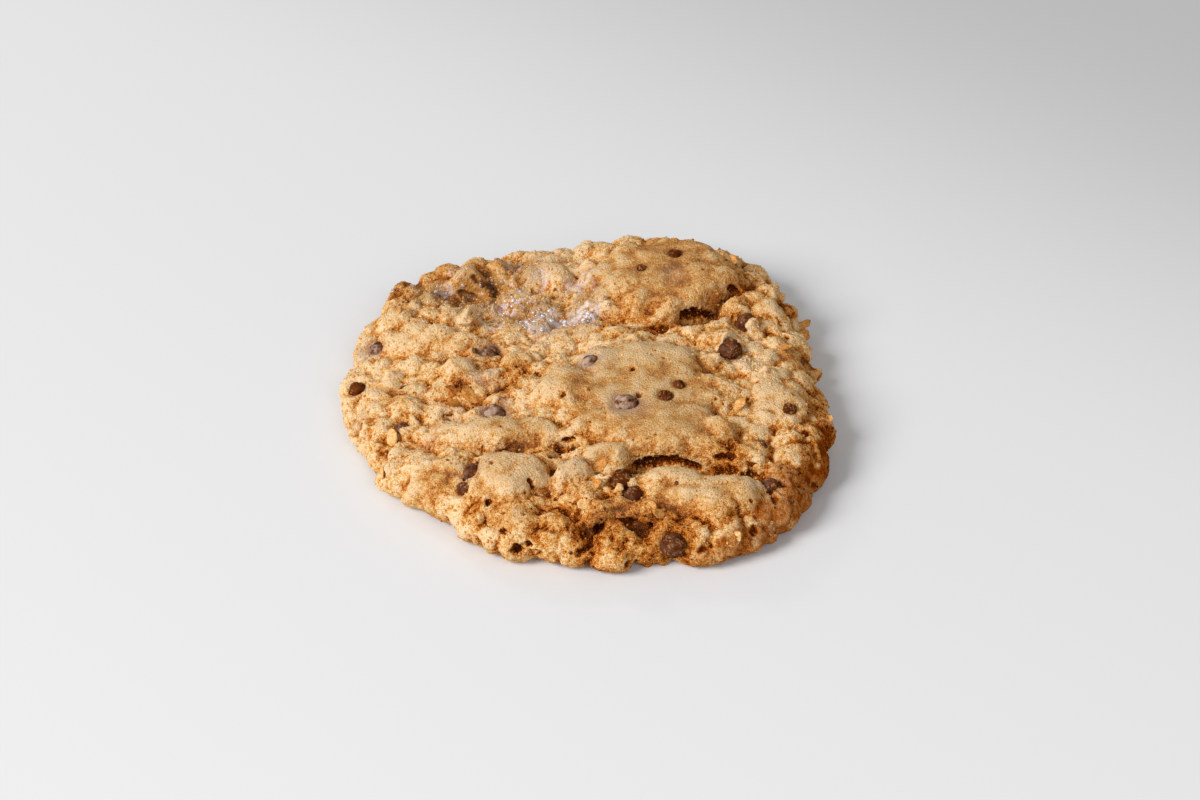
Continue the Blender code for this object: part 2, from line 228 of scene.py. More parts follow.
# The least and the most spin, stretch along three axes and tilt of a scattered shape
SCATTER_LEAST = (0.0, 0.78, 0.78, 0.78, 0.0)
SCATTER_MOST = (2 * math.pi, 1.25, 1.25, 1.25, 0.0)

# Clumps that stand out: x, y, radius and how far they are lifted, as a share of it
CLUMPS = (
    (6.1, -31, 1, 0.9), (8.4, -29.6, 1.1, 0.7), (30.7, 15.6, 1.5, 0.5), (24.9, 7.9, 1.1, 0.4),
    (25.8, 10.4, 1.2, 1.2), (10.4, -36.4, 1.3, 0.6), (4.2, -40.2, 2.8, -0.1), (11.8, -40.6, 2.8, -0.3),
    (7.8, -40.8, 2.2, -0.3), (19, -41, 2.4, -0.4), (-6.3, -39.6, 3, -0.2), (-19, -35.6, 3.2, -0.2),
    (34.6, 26, 2.8, 0.2), (37.6, 24, 2.2, 0.2), (-21.5, 17.8, 2.2, 0.4), (-38.2, -8.8, 2, 0.2),
    (-35.6, -14.2, 2.4, 0.2), (41, 9.6, 2.6, 0.1), (-34.2, 34.6, 2.2, 0.3), (31.8, -35.6, 1.2, 0.4),
    (27.2, -22.9, 1.7, 0.4), (5.2, 15.2, 2.4, 0.2),
)

# Open holes, carved and painted dark as shade inside them: x, y, radius
HOLES = (
    (8.8, -1.7, 0.6), (9.6, -8.2, 0.9), (-3.8, -8.6, 0.8), (-8.1, 0.8, 1), (-5.7, 24.6, 1.7),
    (40.3, -23.2, 0.9), (28.9, -37.2, 1), (7.4, -32.2, 0.9), (-16, -33, 0.7), (-15.8, -27, 0.5),
    (8.6, -43.6, 1.2), (-11.1, -41, 1.4), (-8.3, -42.4, 1.1), (-20.6, -2.8, 0.9),
)

# Slits and hollows, carved as rows of pits and painted dark as shade inside them: from x, y, z to x, y, z,
# and radius
SLITS = (
    (10.2, -22.8, 7.8, 13.4, -22.8, 8, 1.6), (13.4, -22.6, 8.2, 16.4, -22.5, 8.4, 1.15),
    (16.4, -22.4, 8.4, 19.6, -22.1, 6.8, 1), (23.3, -22.4, 9.3, 25.4, -21.9, 9.3, 0.8),
    (25.4, -21.9, 9.3, 28.1, -21.9, 8.3, 0.6), (28.1, -21.9, 8.3, 29.8, -23.1, 8.1, 0.6),
    (18.8, 19, 9.7, 21.9, 20.2, 9.5, 1.45), (21.9, 20.4, 9.5, 23.8, 22, 8, 1),
    (27.1, 26, 11.5, 28.9, 26.1, 10.4, 0.9), (31.4, -26.2, 6.4, 33.3, -27, 6.8, 0.8),
    (33.3, -27, 6.8, 35, -28, 8, 0.8), (32, -29.2, 6.6, 33.1, -32, 7.6, 0.8),
    (37.8, -15.3, 9.2, 39.4, -14.8, 8.9, 0.8), (-0.5, -42.4, 4.7, 0.9, -41, 4.9, 0.9),
    (1.4, -40.2, 5, 2.6, -37.6, 5.8, 0.9), (2.6, -37.6, 5.8, 8, -36.4, 6.4, 0.9),
    (8, -36.4, 6.4, 11.4, -37.4, 6.4, 0.7), (19.4, -41.9, 4.3, 21.5, -40.7, 4.8, 0.6),
    (-3.2, -18, 9.4, -1.9, -18.4, 10.1, 0.7), (-7.7, -31.3, 8.3, -9.1, -30.1, 10.4, 0.5),
    (-5.8, -22.6, 9.8, -4, -21.5, 8.6, 0.5), (-18.2, -23, 9.1, -20.4, -26.8, 8.2, 0.6),
    (-20.8, 33.7, 8.1, -17.8, 34.5, 5.8, 0.9), (-23.5, 32.7, 5.4, -21.3, 32.6, 4.6, 0.9),
    (-13.6, -38.4, 6.1, -9, -40.2, 4.8, 0.7), (37.1, 14.6, 8.9, 35.9, 13.9, 9.2, 0.8),
    (-24.4, -8.4, 7.7, -23.4, -8, 7.7, 0.5), (-39.2, 0.8, 6.5, -38.4, 1.2, 6.6, 0.5),
)

# Patches of colour: how ragged and sharp they end, then x, y, radius and strength
PATCH_WAVES = ((0.45, 2.6, 37.0), (0.3, 1.1, 61.0))
PATCH_EDGE = 0.85
PATCH_SHARPNESS = 7
TOASTED = (
    (-1.2, -6.3, 3.2, 0.16), (-24.6, -26.7, 4.2, 0.32), (-10, -22.4, 3.4, 0.26), (-16.4, -28, 3, 0.16),
    (-26.3, -18.4, 3, 0.2), (-38, -8.8, 2.2, 0.3), (-35.6, -13.8, 2.4, 0.3), (-18.2, -34, 3.2, 0.26),
    (8.8, -1.7, 1.4, 0.35), (13.2, -1.8, 2.6, 0.3), (20.1, 1, 2.6, 0.26), (5.2, 15, 3, 0.22),
    (25, -22.4, 3, 0.45), (24, -15.6, 2.4, 0.18), (37.6, 24, 2.4, 0.45), (-16.3, 37.8, 3.2, 0.34),
    (-25.3, 6.8, 2.6, 0.24), (-13.9, -2.5, 2.6, 0.3), (-33.6, -1.8, 2.6, 0.26), (-12.3, 2.6, 3.4, 0.26),
    (-21.7, -1.4, 3.8, 0.42), (-33.9, 35, 3.6, 0.42), (-35.9, 31.3, 2.6, 0.4), (-26, 40, 6, 0.2),
    (-22.7, 30.5, 3.2, 0.36), (16, 28, 13, 0.23), (2, -37, 9, 0.46), (13, -39, 7, 0.42),
    (44, -8, 8, 0.2), (12, -31, 8, 0.06), (24, -6, 7, 0.1), (-12, -39, 6, 0.16), (-20, 32, 9, 0.12),
    (14.7, 43.1, 5, 0.24), (29.3, 28.5, 5, 0.28), (39.5, 8.4, 4.6, 0.36), (42.1, -0.1, 4, 0.26),
    (44, -12, 5, 0.42), (6, -37.9, 5, 0.26), (-6.9, -39, 4, 0.26), (-40.5, -1, 3, 0.12),
    (21.5, -31, 6, 0.14), (13, 20, 5, 0.2), (4, -15, 7, 0.1), (14, -17, 8, 0.16), (22, -18, 6, 0.22),
    (22, -34, 6, 0.16), (20, 40, 8, 0.24), (-19, 8, 6, 0.2), (42, -17, 5, 0.3), (43, -4, 5, 0.26),
    (-9, -20, 5, 0.16),
)
# Painted light among the pale patches: those at (-8, 10), (0, 10) and (-2, 30.5) whiten the glaze like the
# glints, as painted highlight, and the one at (32, 4) lightens the right side
PALE = (
    (-38, 8, 8, 0.26), (-27, 12, 7, 0.12), (-12.3, 29.5, 2.4, 0.4), (30, -12, 6, 0.1),
    (-30, -6, 6, 0.1), (14, 6, 9, 0.14), (-16, -28, 3, 0.12), (-8, 10, 8, 0.32), (-2, 30.5, 7, 0.16),
    (-22, 2, 8, 0.1), (-36, 0, 9, 0.2), (-24, -12, 8, 0.2), (-40, -12, 7, 0.2), (0, 10, 6, 0.26),
    (-4, 38, 8, 0.28), (32, 4, 8, 0.16), (-9, -29, 5, 0.14), (0.7, -30, 6.5, 0.28), (-9, -6, 5, 0.26),
    (31, 8, 6, 0.26), (31, -6, 6, 0.28), (-29, -20, 5.5, 0.24), (-24, -35, 5, 0.24), (31, -30, 5, 0.12),
    (38, -5, 4, 0.1), (21, -29.5, 6, 0.24), (-19, 23, 5, 0.14), (1, 23, 5, 0.14), (-38, 4, 6, 0.3),
)
CARAMEL = (
    (45.5, -14, 4.6, 0.75), (45, -19, 6, 0.9), (42.5, -24.5, 6.5, 1), (38.5, -30, 6.2, 0.95),
    (34, -36, 5.8, 0.88), (27.5, -41.5, 4.8, 0.64), (20, -43, 3.6, 0.36), (30, 27, 3, 0.2),
    (35, -25, 3.4, 0.6),
)
BLOOM = (
    (0.6, 1.8, 3.2, 0.95), (7.4, -11.2, 3.6, 0.95), (-15.9, -8.6, 3.4, 0.9), (-18.3, 0.7, 3, 0.65),
    (-40, 13.8, 3.4, 0.75), (-18.8, -25.4, 3, 0.45), (-24.1, -10.2, 2.4, 0.45), (-4.5, 17.6, 3.4, 0.7),
    (-7.2, 16, 3, 0.7), (-17.3, 9.6, 2.8, 0.6), (-27, -15, 2.4, 0.3), (16, 27, 3, 0.25),
    (29, 4.6, 2.4, 0.35), (-40, -6, 2, 0.4),
)
GLAZE = (
    (-19, 30, 9, 0.95), (-28, 30, 7, 0.75), (-9, 22, 8, 0.95), (-2, 17, 6, 0.85), (0.5, 24, 4, 0.7),
    (-12, 36.5, 6.5, 0.7), (-1.5, 30.5, 4, 0.6), (-34, 34, 4, 0.5),
)

# Painted highlights: white glints painted on the glaze where light reflects off it; x, y, radius and
# strength
GLINTS = (
    (-6.8, 17.8, 4.4, 1), (0.2, 19, 3.4, 1), (-14.5, 25.4, 3, 0.95), (-11.7, 27.8, 2, 0.6),
    (-8, 32.7, 2, 0.6), (-1, 29.5, 3, 0.7), (-24, 37.4, 1.9, 0.6), (-26.8, 33, 1.9, 0.7),
    (-13.8, 38.3, 2, 0.6), (-16.7, 18, 2, 0.5),
)

# Oat flakes that stand out: x, y, length, width, turn, tilt and how far they are baked
FLAKES = (
    (-23, -1.8, 4.6, 3, 20, 24, 0.46),
    (-20, -3.6, 4.4, 2.8, -30, 30, 0.4),
    (-23.4, -5.4, 3.8, 2.4, 60, 20, 0.44),
    (26.9, -9, 4.4, 2.4, 28, 26, 0.26),
    (39.8, 23, 6, 3.6, 10, -66, 0.36),
    (39.6, 20, 5.6, 3.2, -10, -60, 0.4),
    (1.4, -30.4, 4.2, 2.4, 10, 26, 0.36),
    (-12.3, 29.5, 4.6, 3.2, 30, 14, 0.12),
    (-33.6, -13, 3.6, 2.2, -35, 26, 0.18),
    (3, -24.6, 4.4, 2.6, 64, 22, 0.38),
    (13, -36, 3.8, 2.2, 15, 32, 0.36),
    (-35, 22.5, 4, 2.6, -50, 28, 0.36),
    (36, 10, 4, 2.6, 40, 25, 0.38),
)
FLAKE_LIFT = 0.6
LOOSE_FLAKES = 24
LOOSE_FLAKE_LENGTHS = (2.8, 4.4)
LOOSE_FLAKE_WIDTHS = (0.55, 0.75)
LOOSE_FLAKE_LEAST = (0, -30, 0.10)
LOOSE_FLAKE_MOST = (360, 30, 0.30)
LOOSE_FLAKE_SINK = 0.3
LOOSE_FLAKE_CLEARANCE = 1.8
GRAIN_COUNT = 7000
GRAIN_RADII = (0.13, 0.34)
GRAIN_SMALLNESS = 2
GRAIN_CLEARANCE = -0.2
GRAINS_ON_CHIPS = 0.16
GRAINS_OFF_CARAMEL = 0.8
BEAD_COUNT = 200
BEAD_RADII = (0.22, 0.55)
SPECK_COUNT = 14
SPECK_RADII = (0.35, 0.75)

# The greyish veil lies on a chip's left side, where the light falls: partly real bloom, partly a painted
# highlight
VEIL_AND_HIGHLIGHT_MIDDLE = 0.7
VEIL_AND_HIGHLIGHT_SLOPE = 1.6
SPECK_VEIL = 0.12
BEAD_MILKINESS = 0.25

# How far the dough is baked, from 0 to 1, with painted shade added: at first, by noise, in hollows close by
# and broad, and in places
BAKE_START = 0.30
CRUST_PALENESS = 0.04
BAKE_WAVES = ((0.13, 9.0, 4.0), (0.20, 3.0, 8.0), (0.10, 1.3, 6.0))
HOLLOW_ROUNDS = (5, 50)
# Hollows are made darker and tops paler: partly darker dough inside, partly painted shade that falls in
# them
HOLLOW_BAKES_AND_SHADES = ((2.0, -0.13, 0.32), (0.46, -0.13, 0.34))
# The dough is made darker towards the bottom, below LOW_HEIGHT millimetres
LOW_HEIGHT = 4.0
LOW_DARKENING = 0.18
# Painted shade: pores, open holes, slits and the depths of cracks are made darker, as shade inside them
PORE_SHADE = 0.45
PORE_DARKNESS = 0.7
HOLE_DARKNESS = 1.6
CRACK_FULL_DEPTH = 4.0
CRACK_SHADE = 0.6
CARAMEL_STRENGTH = 1.4
CARAMEL_BAKE = 0.24
GRAIN_BAKE = 0.33
GRAIN_WAVE = 0.13
GRAIN_TONES = (-0.16, 0.10)
# Painted shade: oat flakes are made darker on their undersides
FLAKE_UNDER_SHADE = 0.5
FLAKE_EDGE_BAKE = 0.15
GRAIN_CARAMEL_BAKE = 0.8

# Colours of the crust from barely baked to nearly burnt, then of what lies on it, in linear light
BAKE_TONES = (
    (0.00, (0.84, 0.61, 0.370)),
    (0.20, (0.74, 0.445, 0.170)),
    (0.42, (0.62, 0.262, 0.052)),
    (0.64, (0.44, 0.120, 0.013)),
    (0.84, (0.20, 0.038, 0.004)),
    (1.00, (0.050, 0.010, 0.002)),
)
CARAMEL_BROWN = (0.27, 0.050, 0.001)
CRUST_TAN = (0.47, 0.280, 0.118)
BLOOM_AND_HIGHLIGHT_GREY = (0.43, 0.30, 0.225)
GLAZE_AMBER = (0.34, 0.165, 0.048)
# White of milky sugar beads and of the painted glints on the glaze
GLAZE_WHITE_AND_GLINT = (0.80, 0.73, 0.76)
CHOCOLATE = (0.066, 0.013, 0.002)
CHOCOLATE_LIGHT = (0.130, 0.034, 0.007)
CHIP_DUST = (0.42, 0.21, 0.08)
FLOOR_WHITE = (0.735, 0.735, 0.74)
# Painted shade on the floor: darker towards the back right, where the lamps' light falls off
FLOOR_SHADED = (0.54, 0.54, 0.545)
FLOOR_RADIUS = 1.6
FLOOR_SHADE_FADE = (0.06, 0.26)
FLOOR_SHADE_SLANT = 0.8

# The camera, set back from a point on the cookie, and the lights: place in metres, size and power
CAMERA_TARGET = (2.9, -2.8, 7.0)
CAMERA_DISTANCE = 508.0
CAMERA_ELEVATION = 37.0
CAMERA_LENS = 85.0
LIGHTS = (
    ("window", (-1.24, -0.72, 1.05), 0.90, 33.5),
    ("fill", (0.30, -0.62, 0.50), 0.60, 1.8),
    ("glint", (-0.50, 0.70, 0.50), 0.15, 0.8),
)
ROOM_LIGHT = 0.30

# Numbers of a colour Mix node's factor, first and second sockets, and of its result
MIX_INPUTS = (0, 6, 7)
MIX_RESULT = 2

# How much the sand and the pores' specks darken the bake, as shares of the mottle and of 1: painted shade
# in the grain's low spots and pits
SAND_SHADE_SHARE = 2.2
SPECK_SHADE_SHARE = 0.08


def around(step, values, angle):
    """Smooth closed curve through values that stand step degrees apart, read at angle."""
    place = (angle / step) % len(values)
    whole = np.floor(place).astype(int)
    t = place - whole
    table = np.array(values)
    before, first, second, after = (table[(whole + k) % len(values)] for k in (-1, 0, 1, 2))
    return first + 0.5 * t * (
        second - before
        + t * (2 * before - 5 * first + 4 * second - after + t * (3 * (first - second) + after - before))
    )


def wander(x, y, z, size, offset=0.0):
    """Smooth noise from -1 to 1 whose bumps are about size millimetres across."""
    points = np.stack(np.broadcast_arrays(x, y, z), axis=-1).reshape(-1, 3) / size + offset
    values = [noise.noise(Vector(point)) for point in points]
    return np.array(values).reshape(np.shape(x))


def shaken(points, size):
    """Three noises, one for each axis, whose bumps are about size millimetres across."""
    return np.stack([wander(*points.T, size, shift) for shift in (5.0, 25.0, 45.0)], axis=1)


def cobbles(points, size, offset=0.0):
    """Rounded crumbs about size millimetres across: 0 in the gaps between them, up to 1 on their tops."""
    gaps = []
    for point in points / size + offset:
        nearest, second = noise.voronoi(Vector(point))[0][:2]
        gaps.append(second - nearest)
    return np.sqrt(np.clip(np.array(gaps) * COBBLE_STEEPNESS, 0, 1))


def waves(x, y, z, rows):
    """Several noises added up. Each row is a height, a size and a shift."""
    return sum(height * wander(x, y, z, size, shift) for height, size, shift in rows)


def nudged(value, x, y, z, rows):
    """value with several noises added to it one by one."""
    for height, size, shift in rows:
        value = value + height * wander(x, y, z, size, shift)
    return value


def plate_axes(x, y, plate):
    """How far along and across a plate each point is, as shares of the plate's half sizes."""
    cx, cy, half_long, half_wide, turn = plate[:5]
    c, s = math.cos(math.radians(turn)), math.sin(math.radians(turn))
    return ((x - cx) * c + (y - cy) * s) / half_long, ((y - cy) * c - (x - cx) * s) / half_wide


def blend_up(low, high, radius):
    """The higher of two surfaces, rounded where they meet over radius millimetres."""
    near = np.maximum(radius - np.abs(low - high), 0) / radius
    return np.maximum(low, high) + near**2 * radius / 4


def crack_closeness(x, y):
    """For each crack how near a point is to it, from 0 far away to 1 along its middle."""
    ragged = 1 + waves(x, y, 0 * x, RAGGED_WAVES)
    for x0, y0, x1, y1, half_width, depth in CRACKS:
        run = (x1 - x0) ** 2 + (y1 - y0) ** 2
        t = np.clip(((x - x0) * (x1 - x0) + (y - y0) * (y1 - y0)) / run, 0, 1)
        away = np.hypot(x - x0 - t * (x1 - x0), y - y0 - t * (y1 - y0)) * ragged / half_width
        yield np.exp(-(away**2)), depth


def top_height(x, y):
    """Height of the top at a point, before the edge rounds it down and the crumbs cover it."""
    x = x + waves(x, y, 0 * x, WARP_X_WAVES)
    y = y + waves(x, y, 0 * x, WARP_Y_WAVES)
    height = np.full(np.shape(x), PLATEAU_HEIGHT)
    for cx, cy, radius, rise in SWELLS:
        height = height + rise * np.exp(-((x - cx) ** 2 + (y - cy) ** 2) / radius**2)
    height = height + waves(x, y, 0 * x, GROUND_WAVES)
    root = height - PLATE_ROOT
    ragged = 1 + waves(x, y, 0 * x, RAGGED_WAVES)
    softness = PLATE_BLEND + waves(x, y, 0 * x, BLEND_WAVES)
    power = PLATE_SQUARENESS
    for plate in PLATES:
        along, across = plate_axes(x, y, plate)
        reach = (np.abs(along) ** power + np.abs(across) ** power) ** (1 / power) * ragged
        dome = np.clip(1 - reach**PLATE_SHOULDER, 0, 1) ** PLATE_SWELL
        height = np.where(reach < 1, blend_up(height, root + (plate[5] - root) * dome, softness), height)
    for near, depth in crack_closeness(x, y):
        height = height - depth * near
    return height


def outline_radius(angle):
    """How far the cookie reaches from its middle, in millimetres, at an angle in degrees."""
    c, s = np.cos(np.radians(angle)), np.sin(np.radians(angle))
    uneven = waves(c * WIDTH / 2, s * WIDTH / 2, 0 * c, OUTLINE_WAVES)
    return WIDTH / 2 * around(OUTLINE_STEP, OUTLINE_SHARES, angle) + uneven


def edge_fall(out, angle):
    """How far round the edge a point is, from 0 on the top to a quarter turn at the rim."""
    edge = around(EDGE_STEP, EDGE_WIDTHS, angle)
    return np.arcsin(np.clip((out - outline_radius(angle) + edge) / edge, 0, 1))


def bare_dough(out, angle):
    """Point on the cookie without its crumbs, in millimetres, and the way that its surface faces.

    out is the distance from the middle, in millimetres, and angle is in degrees.
    """
    edge = around(EDGE_STEP, EDGE_WIDTHS, angle)
    rim = around(EDGE_STEP, RIM_HEIGHTS, angle)
    fall = edge_fall(out, angle)
    c, s = np.cos(np.radians(angle)), np.sin(np.radians(angle))
    x, y = out * c, out * s
    near = GRAIN * np.array([-0.5, 0.5])
    top = np.mean([top_height(x + dx, y + dy) for dx in near for dy in near], axis=0)
    z = rim + np.maximum(top - rim, EDGE_LEAST_RISE) * np.cos(fall)
    slope = np.maximum(top - rim, EDGE_FACING_RISE) / edge
    facing = np.stack([c * np.sin(fall) * slope, s * np.sin(fall) * slope, np.cos(fall)], axis=-1)
    facing /= np.linalg.norm(facing, axis=-1, keepdims=True)
    return np.stack([x, y, z], axis=-1), facing


def distance_out(share, angle):
    """Distance from the middle for shares from 0 to 1, spread evenly over the top and down the edge."""
    radius = outline_radius(angle)
    edge = around(EDGE_STEP, EDGE_WIDTHS, angle)
    arc = edge * EDGE_ARC
    way = share * (radius - edge + arc)
    fall = np.clip((way - radius + edge) / arc, 0, 1) * math.pi / 2
    return np.minimum(way, radius - edge) + edge * np.sin(fall)


def lump_centres(rng):
    """Places of the crumb lumps: an even spiral over the top and the edge, each one nudged."""
    reach = WIDTH / 2 * LUMP_REACH
    count = int(math.pi * reach**2 / LUMP_SPACING**2 * LUMP_FILL)
    number = np.arange(count) + 0.5
    share = np.sqrt(number / count)
    angle = np.degrees(number * GOLDEN_ANGLE) % 360
    nudge = LUMP_SPACING / reach / 2
    share = np.clip(share + rng.uniform(-nudge, nudge, count), 0, 1)
    angle = angle + np.degrees(rng.uniform(-nudge, nudge, count) / np.maximum(share, 0.1))
    points, _ = bare_dough(distance_out(share, angle), angle)
    return points


def place_on_dough(x, y):
    """Point on the bare dough at x, y, and the way that it faces."""
    return bare_dough(np.hypot(x, y), np.degrees(np.arctan2(y, x)) % 360)


def chip_places():
    """Middle of each chip, sunk into the bare dough along the way that the surface faces."""
    x, y, diameter, standing, _ = np.array(CHIPS).T
    points, facing = place_on_dough(x, y)
    return points + facing * (diameter * (standing - 0.5))[:, None]


def chip_dents(points):
    """0 away from the chips, rising to 1 beside them."""
    dent = np.zeros(len(points))
    for place, chip in zip(chip_places(), CHIPS):
        away = np.linalg.norm(points - place, axis=1) / (chip[2] * DENT_SHARE)
        dent = np.maximum(dent, np.exp(-(away**4)))
    return dent


def smoothness(x, y):
    """1 on the smooth crust of the plates and 0 between them, with a ragged edge."""
    x = nudged(x, x, y, 0 * x, CRUST_WARP_X)
    y = nudged(y, x, y, 0 * x, CRUST_WARP_Y)
    smooth = np.zeros(np.shape(x))
    for plate in PLATES:
        inside = np.clip((CRUST_REACH - np.hypot(*plate_axes(x, y, plate))) / CRUST_FADE, 0, 1)
        smooth = np.maximum(smooth, plate[6] * inside)
    return smooth


def crumb_relief(points, centres, radii):
    """How far the crumb lumps lift each point, and 1 in the grooves between lumps."""
    lift = np.zeros(len(points))
    nearest = np.full(len(points), LUMP_FAR)
    second = np.full(len(points), LUMP_FAR)
    for centre, radius in zip(centres, radii):
        away = np.linalg.norm(points - centre, axis=1) / radius
        lift = np.maximum(lift, radius * CRUMB_HEIGHT_SHARE * np.clip(1 - away**2, 0, 1) ** CRUMB_PROFILE)
        second = np.minimum(second, np.maximum(nearest, away))
        nearest = np.minimum(nearest, away)
    return lift, np.exp(-(((second - nearest) / CRUMB_GROOVE_WIDTH) ** 2))


def uneven_sizes(rng, limits, count, smallness):
    """Random sizes between two limits, more of them small where smallness is above 1."""
    smallest, largest = limits
    return smallest + (largest - smallest) * rng.uniform(0, 1, count) ** smallness


def dough_form():
    """The dough before its clumps, as a closed bmesh: a ringed disc bent over the edge, on a flat rest."""
    rng = np.random.default_rng(SEED)
    bm = bmesh.new()
    bmesh.ops.create_circle(bm, cap_ends=True, cap_tris=True, segments=6, radius=1.0)
    bmesh.ops.subdivide_edges(bm, edges=bm.edges[:], cuts=DISC_RINGS - 1, use_grid_fill=True)
    bmesh.ops.triangulate(bm, faces=bm.faces[:])

    flat = np.array([v.co for v in bm.verts], float)
    angle = np.degrees(np.arctan2(flat[:, 1], flat[:, 0])) % 360
    corner = np.radians((angle + 30) % 60 - 30)
    share = np.hypot(flat[:, 0], flat[:, 1]) * np.cos(corner) / math.cos(math.radians(30))
    bare, facing = bare_dough(distance_out(np.clip(share, 0, 1), angle), angle)

    centres = lump_centres(rng)
    radii = uneven_sizes(rng, LUMP_RADII, len(centres), LUMP_SMALLNESS)
    in_crack = np.max([near for near, _ in crack_closeness(bare[:, 0], bare[:, 1])], axis=0)
    lumpy = (1 - (1 - LUMPS_ON_PLATES) * smoothness(bare[:, 0], bare[:, 1])) * (1 - in_crack)
    dents = chip_dents(bare)
    lumpy = lumpy * (1 - CARAMEL_FLATTENING * patches(bare, CARAMEL))
    warped = bare
    for most, size in CRUMB_WARPS:
        warped = warped + most * shaken(bare, size)
    lumps, groove = crumb_relief(warped, centres, radii)
    sink = LUMP_SINK * facing[:, 2] ** 2
    lift = (lumps - CRUMB_GROOVE * groove - sink) * lumpy * (1 - dents) - DENT_DEPTH * dents
    shaped = bare + facing * lift[:, None]
    shaped[:, 1] += CRACK_UNDERCUT * in_crack**2
    for vert, place in zip(bm.verts, shaped):
        vert.co = Vector(place)

    rim = [edge for edge in bm.edges if edge.is_boundary]
    for height_share, inset in RIM_RINGS:
        made = bmesh.ops.extrude_edge_only(bm, edges=rim)["geom"]
        ring = [part for part in made if isinstance(part, bmesh.types.BMVert)]
        rim = [part for part in made if isinstance(part, bmesh.types.BMEdge) and part.is_boundary]
        for vert in ring:
            away = Vector((vert.co.x, vert.co.y, 0)).normalized()
            vert.co -= away * inset
            vert.co.z *= height_share
    bmesh.ops.edgeloop_fill(bm, edges=rim)
    bmesh.ops.triangulate(bm, faces=bm.faces[:])
    bmesh.ops.recalc_face_normals(bm, faces=bm.faces[:])
    return bm


def in_order(triangles):
    """The triangles sorted, each from its lowest corner on, because Blender's own order differs by run."""
    first = triangles.argmin(axis=1)[:, None]
    triangles = np.take_along_axis(triangles, (first + np.arange(3)) % 3, axis=1)
    return triangles[np.lexsort(triangles.T[::-1])]


def mesh_arrays(bm):
    """Points and triangles of a bmesh, which is then freed."""
    bm.verts.index_update()
    points = np.array([v.co for v in bm.verts], float)
    triangles = np.array([[v.index for v in face.verts] for face in bm.faces], int)
    bm.free()
    return points, in_order(triangles)


def crumb_template(number, subdivisions, unevenness, squash):
    """One crumb about 1 millimetre in radius, as points and triangles, bumpy and chopped by its number."""
    bm = bmesh.new()
    bmesh.ops.create_icosphere(bm, subdivisions=subdivisions, radius=1.0)
    for vert in bm.verts:
        bump = noise.noise(vert.co * CRUMB_BUMPS + Vector((number * CRUMB_BUMP_SHIFT, 0, 0)))
        chop = noise.cell(vert.co * CRUMB_CHOPS + Vector((0, number * CRUMB_CHOP_SHIFT, 0)))
        vert.co *= 1 + unevenness * (bump + CRUMB_CHOPPING * (chop - 0.5))
        vert.co.z *= squash
    return mesh_arrays(bm)


def crumb_shapes(count, first, subdivisions, unevenness, squash):
    return [crumb_template(first + number, subdivisions, unevenness, squash) for number in range(count)]


def flake_template(number):
    """One oat flake 1 millimetre long and wide: a thin, curled oval with a crease along its middle."""
    bm = bmesh.new()
    bmesh.ops.create_icosphere(bm, subdivisions=3, radius=0.5)
    for vert in bm.verts:
        x, y = vert.co.x, vert.co.y
        crease = FLAKE_CREASE * math.exp(-((y / FLAKE_CREASE_WIDTH) ** 2))
        curl = FLAKE_CURLS[number % 3] * x * x - FLAKE_CUPPING * y * y
        wave = FLAKE_WAVE * noise.noise(vert.co * 3.2 + Vector((number * 5.1, 0, 0)))
        vert.co.z = vert.co.z * FLAKE_THICKNESS - crease * (vert.co.z > 0) + curl * FLAKE_BEND + wave
        ragged = 1 + FLAKE_RAGGED * noise.noise(Vector((x * 4, y * 4, number * 2.7)))
        vert.co.x *= ragged
        vert.co.y *= ragged
    return mesh_arrays(bm)


def laid(template, place, facing, size, spin, tilt):
    """Points of a template scaled to size, spun, tilted and laid on a surface at place."""
    lean = Vector(facing).to_track_quat("Z", "Y").to_matrix()
    turn = np.array(lean @ Matrix.Rotation(spin, 3, "Z") @ Matrix.Rotation(tilt, 3, "Y"))
    return (template * size) @ turn.T + place


def merged(parts):
    """Several lists of points and triangles as one."""
    starts = np.cumsum([0] + [len(points) for points, _ in parts[:-1]])
    points = np.concatenate([points for points, _ in parts])
    return points, np.concatenate([triangles + start for (_, triangles), start in zip(parts, starts)])


def scattered(templates, places, facings, sizes, rng):
    """Points and triangles of many small pieces, each a turned template that lies along its facing."""
    parts = []
    for number, (place, facing, size) in enumerate(zip(places, facings, sizes)):
        points, triangles = templates[number % len(templates)]
        spin, *stretch, tilt = rng.uniform(SCATTER_LEAST, SCATTER_MOST)
        parts.append((laid(points, place, facing, size * np.array(stretch), spin, tilt), triangles))
    return merged(parts)


def surface_samples(surface, count, weight, rng):
    """Random places on a surface and the way it faces there, denser where its points weigh more."""
    points, triangles = surface[:2]
    corners = points[triangles]
    cross = np.cross(corners[:, 1] - corners[:, 0], corners[:, 2] - corners[:, 0])
    area = np.linalg.norm(cross, axis=1)
    facings = cross / np.maximum(area, 1e-9)[:, None]
    chance = area * weight[triangles].mean(axis=1)
    picked = rng.choice(len(triangles), count, p=chance / chance.sum())
    u, v = rng.uniform(0, 1, (2, count))
    fold = u + v > 1
    u, v = np.where(fold, 1 - u, u), np.where(fold, 1 - v, v)
    a, b, c = corners[picked].transpose(1, 0, 2)
    return a + (b - a) * u[:, None] + (c - a) * v[:, None], facings[picked]


def new_object(name, points, triangles):
    mesh = bpy.data.meshes.new(name)
    mesh.from_pydata(points.tolist(), [], triangles.tolist())
    made = bpy.data.objects.new(name, mesh)
    bpy.context.scene.collection.objects.link(made)
    return made


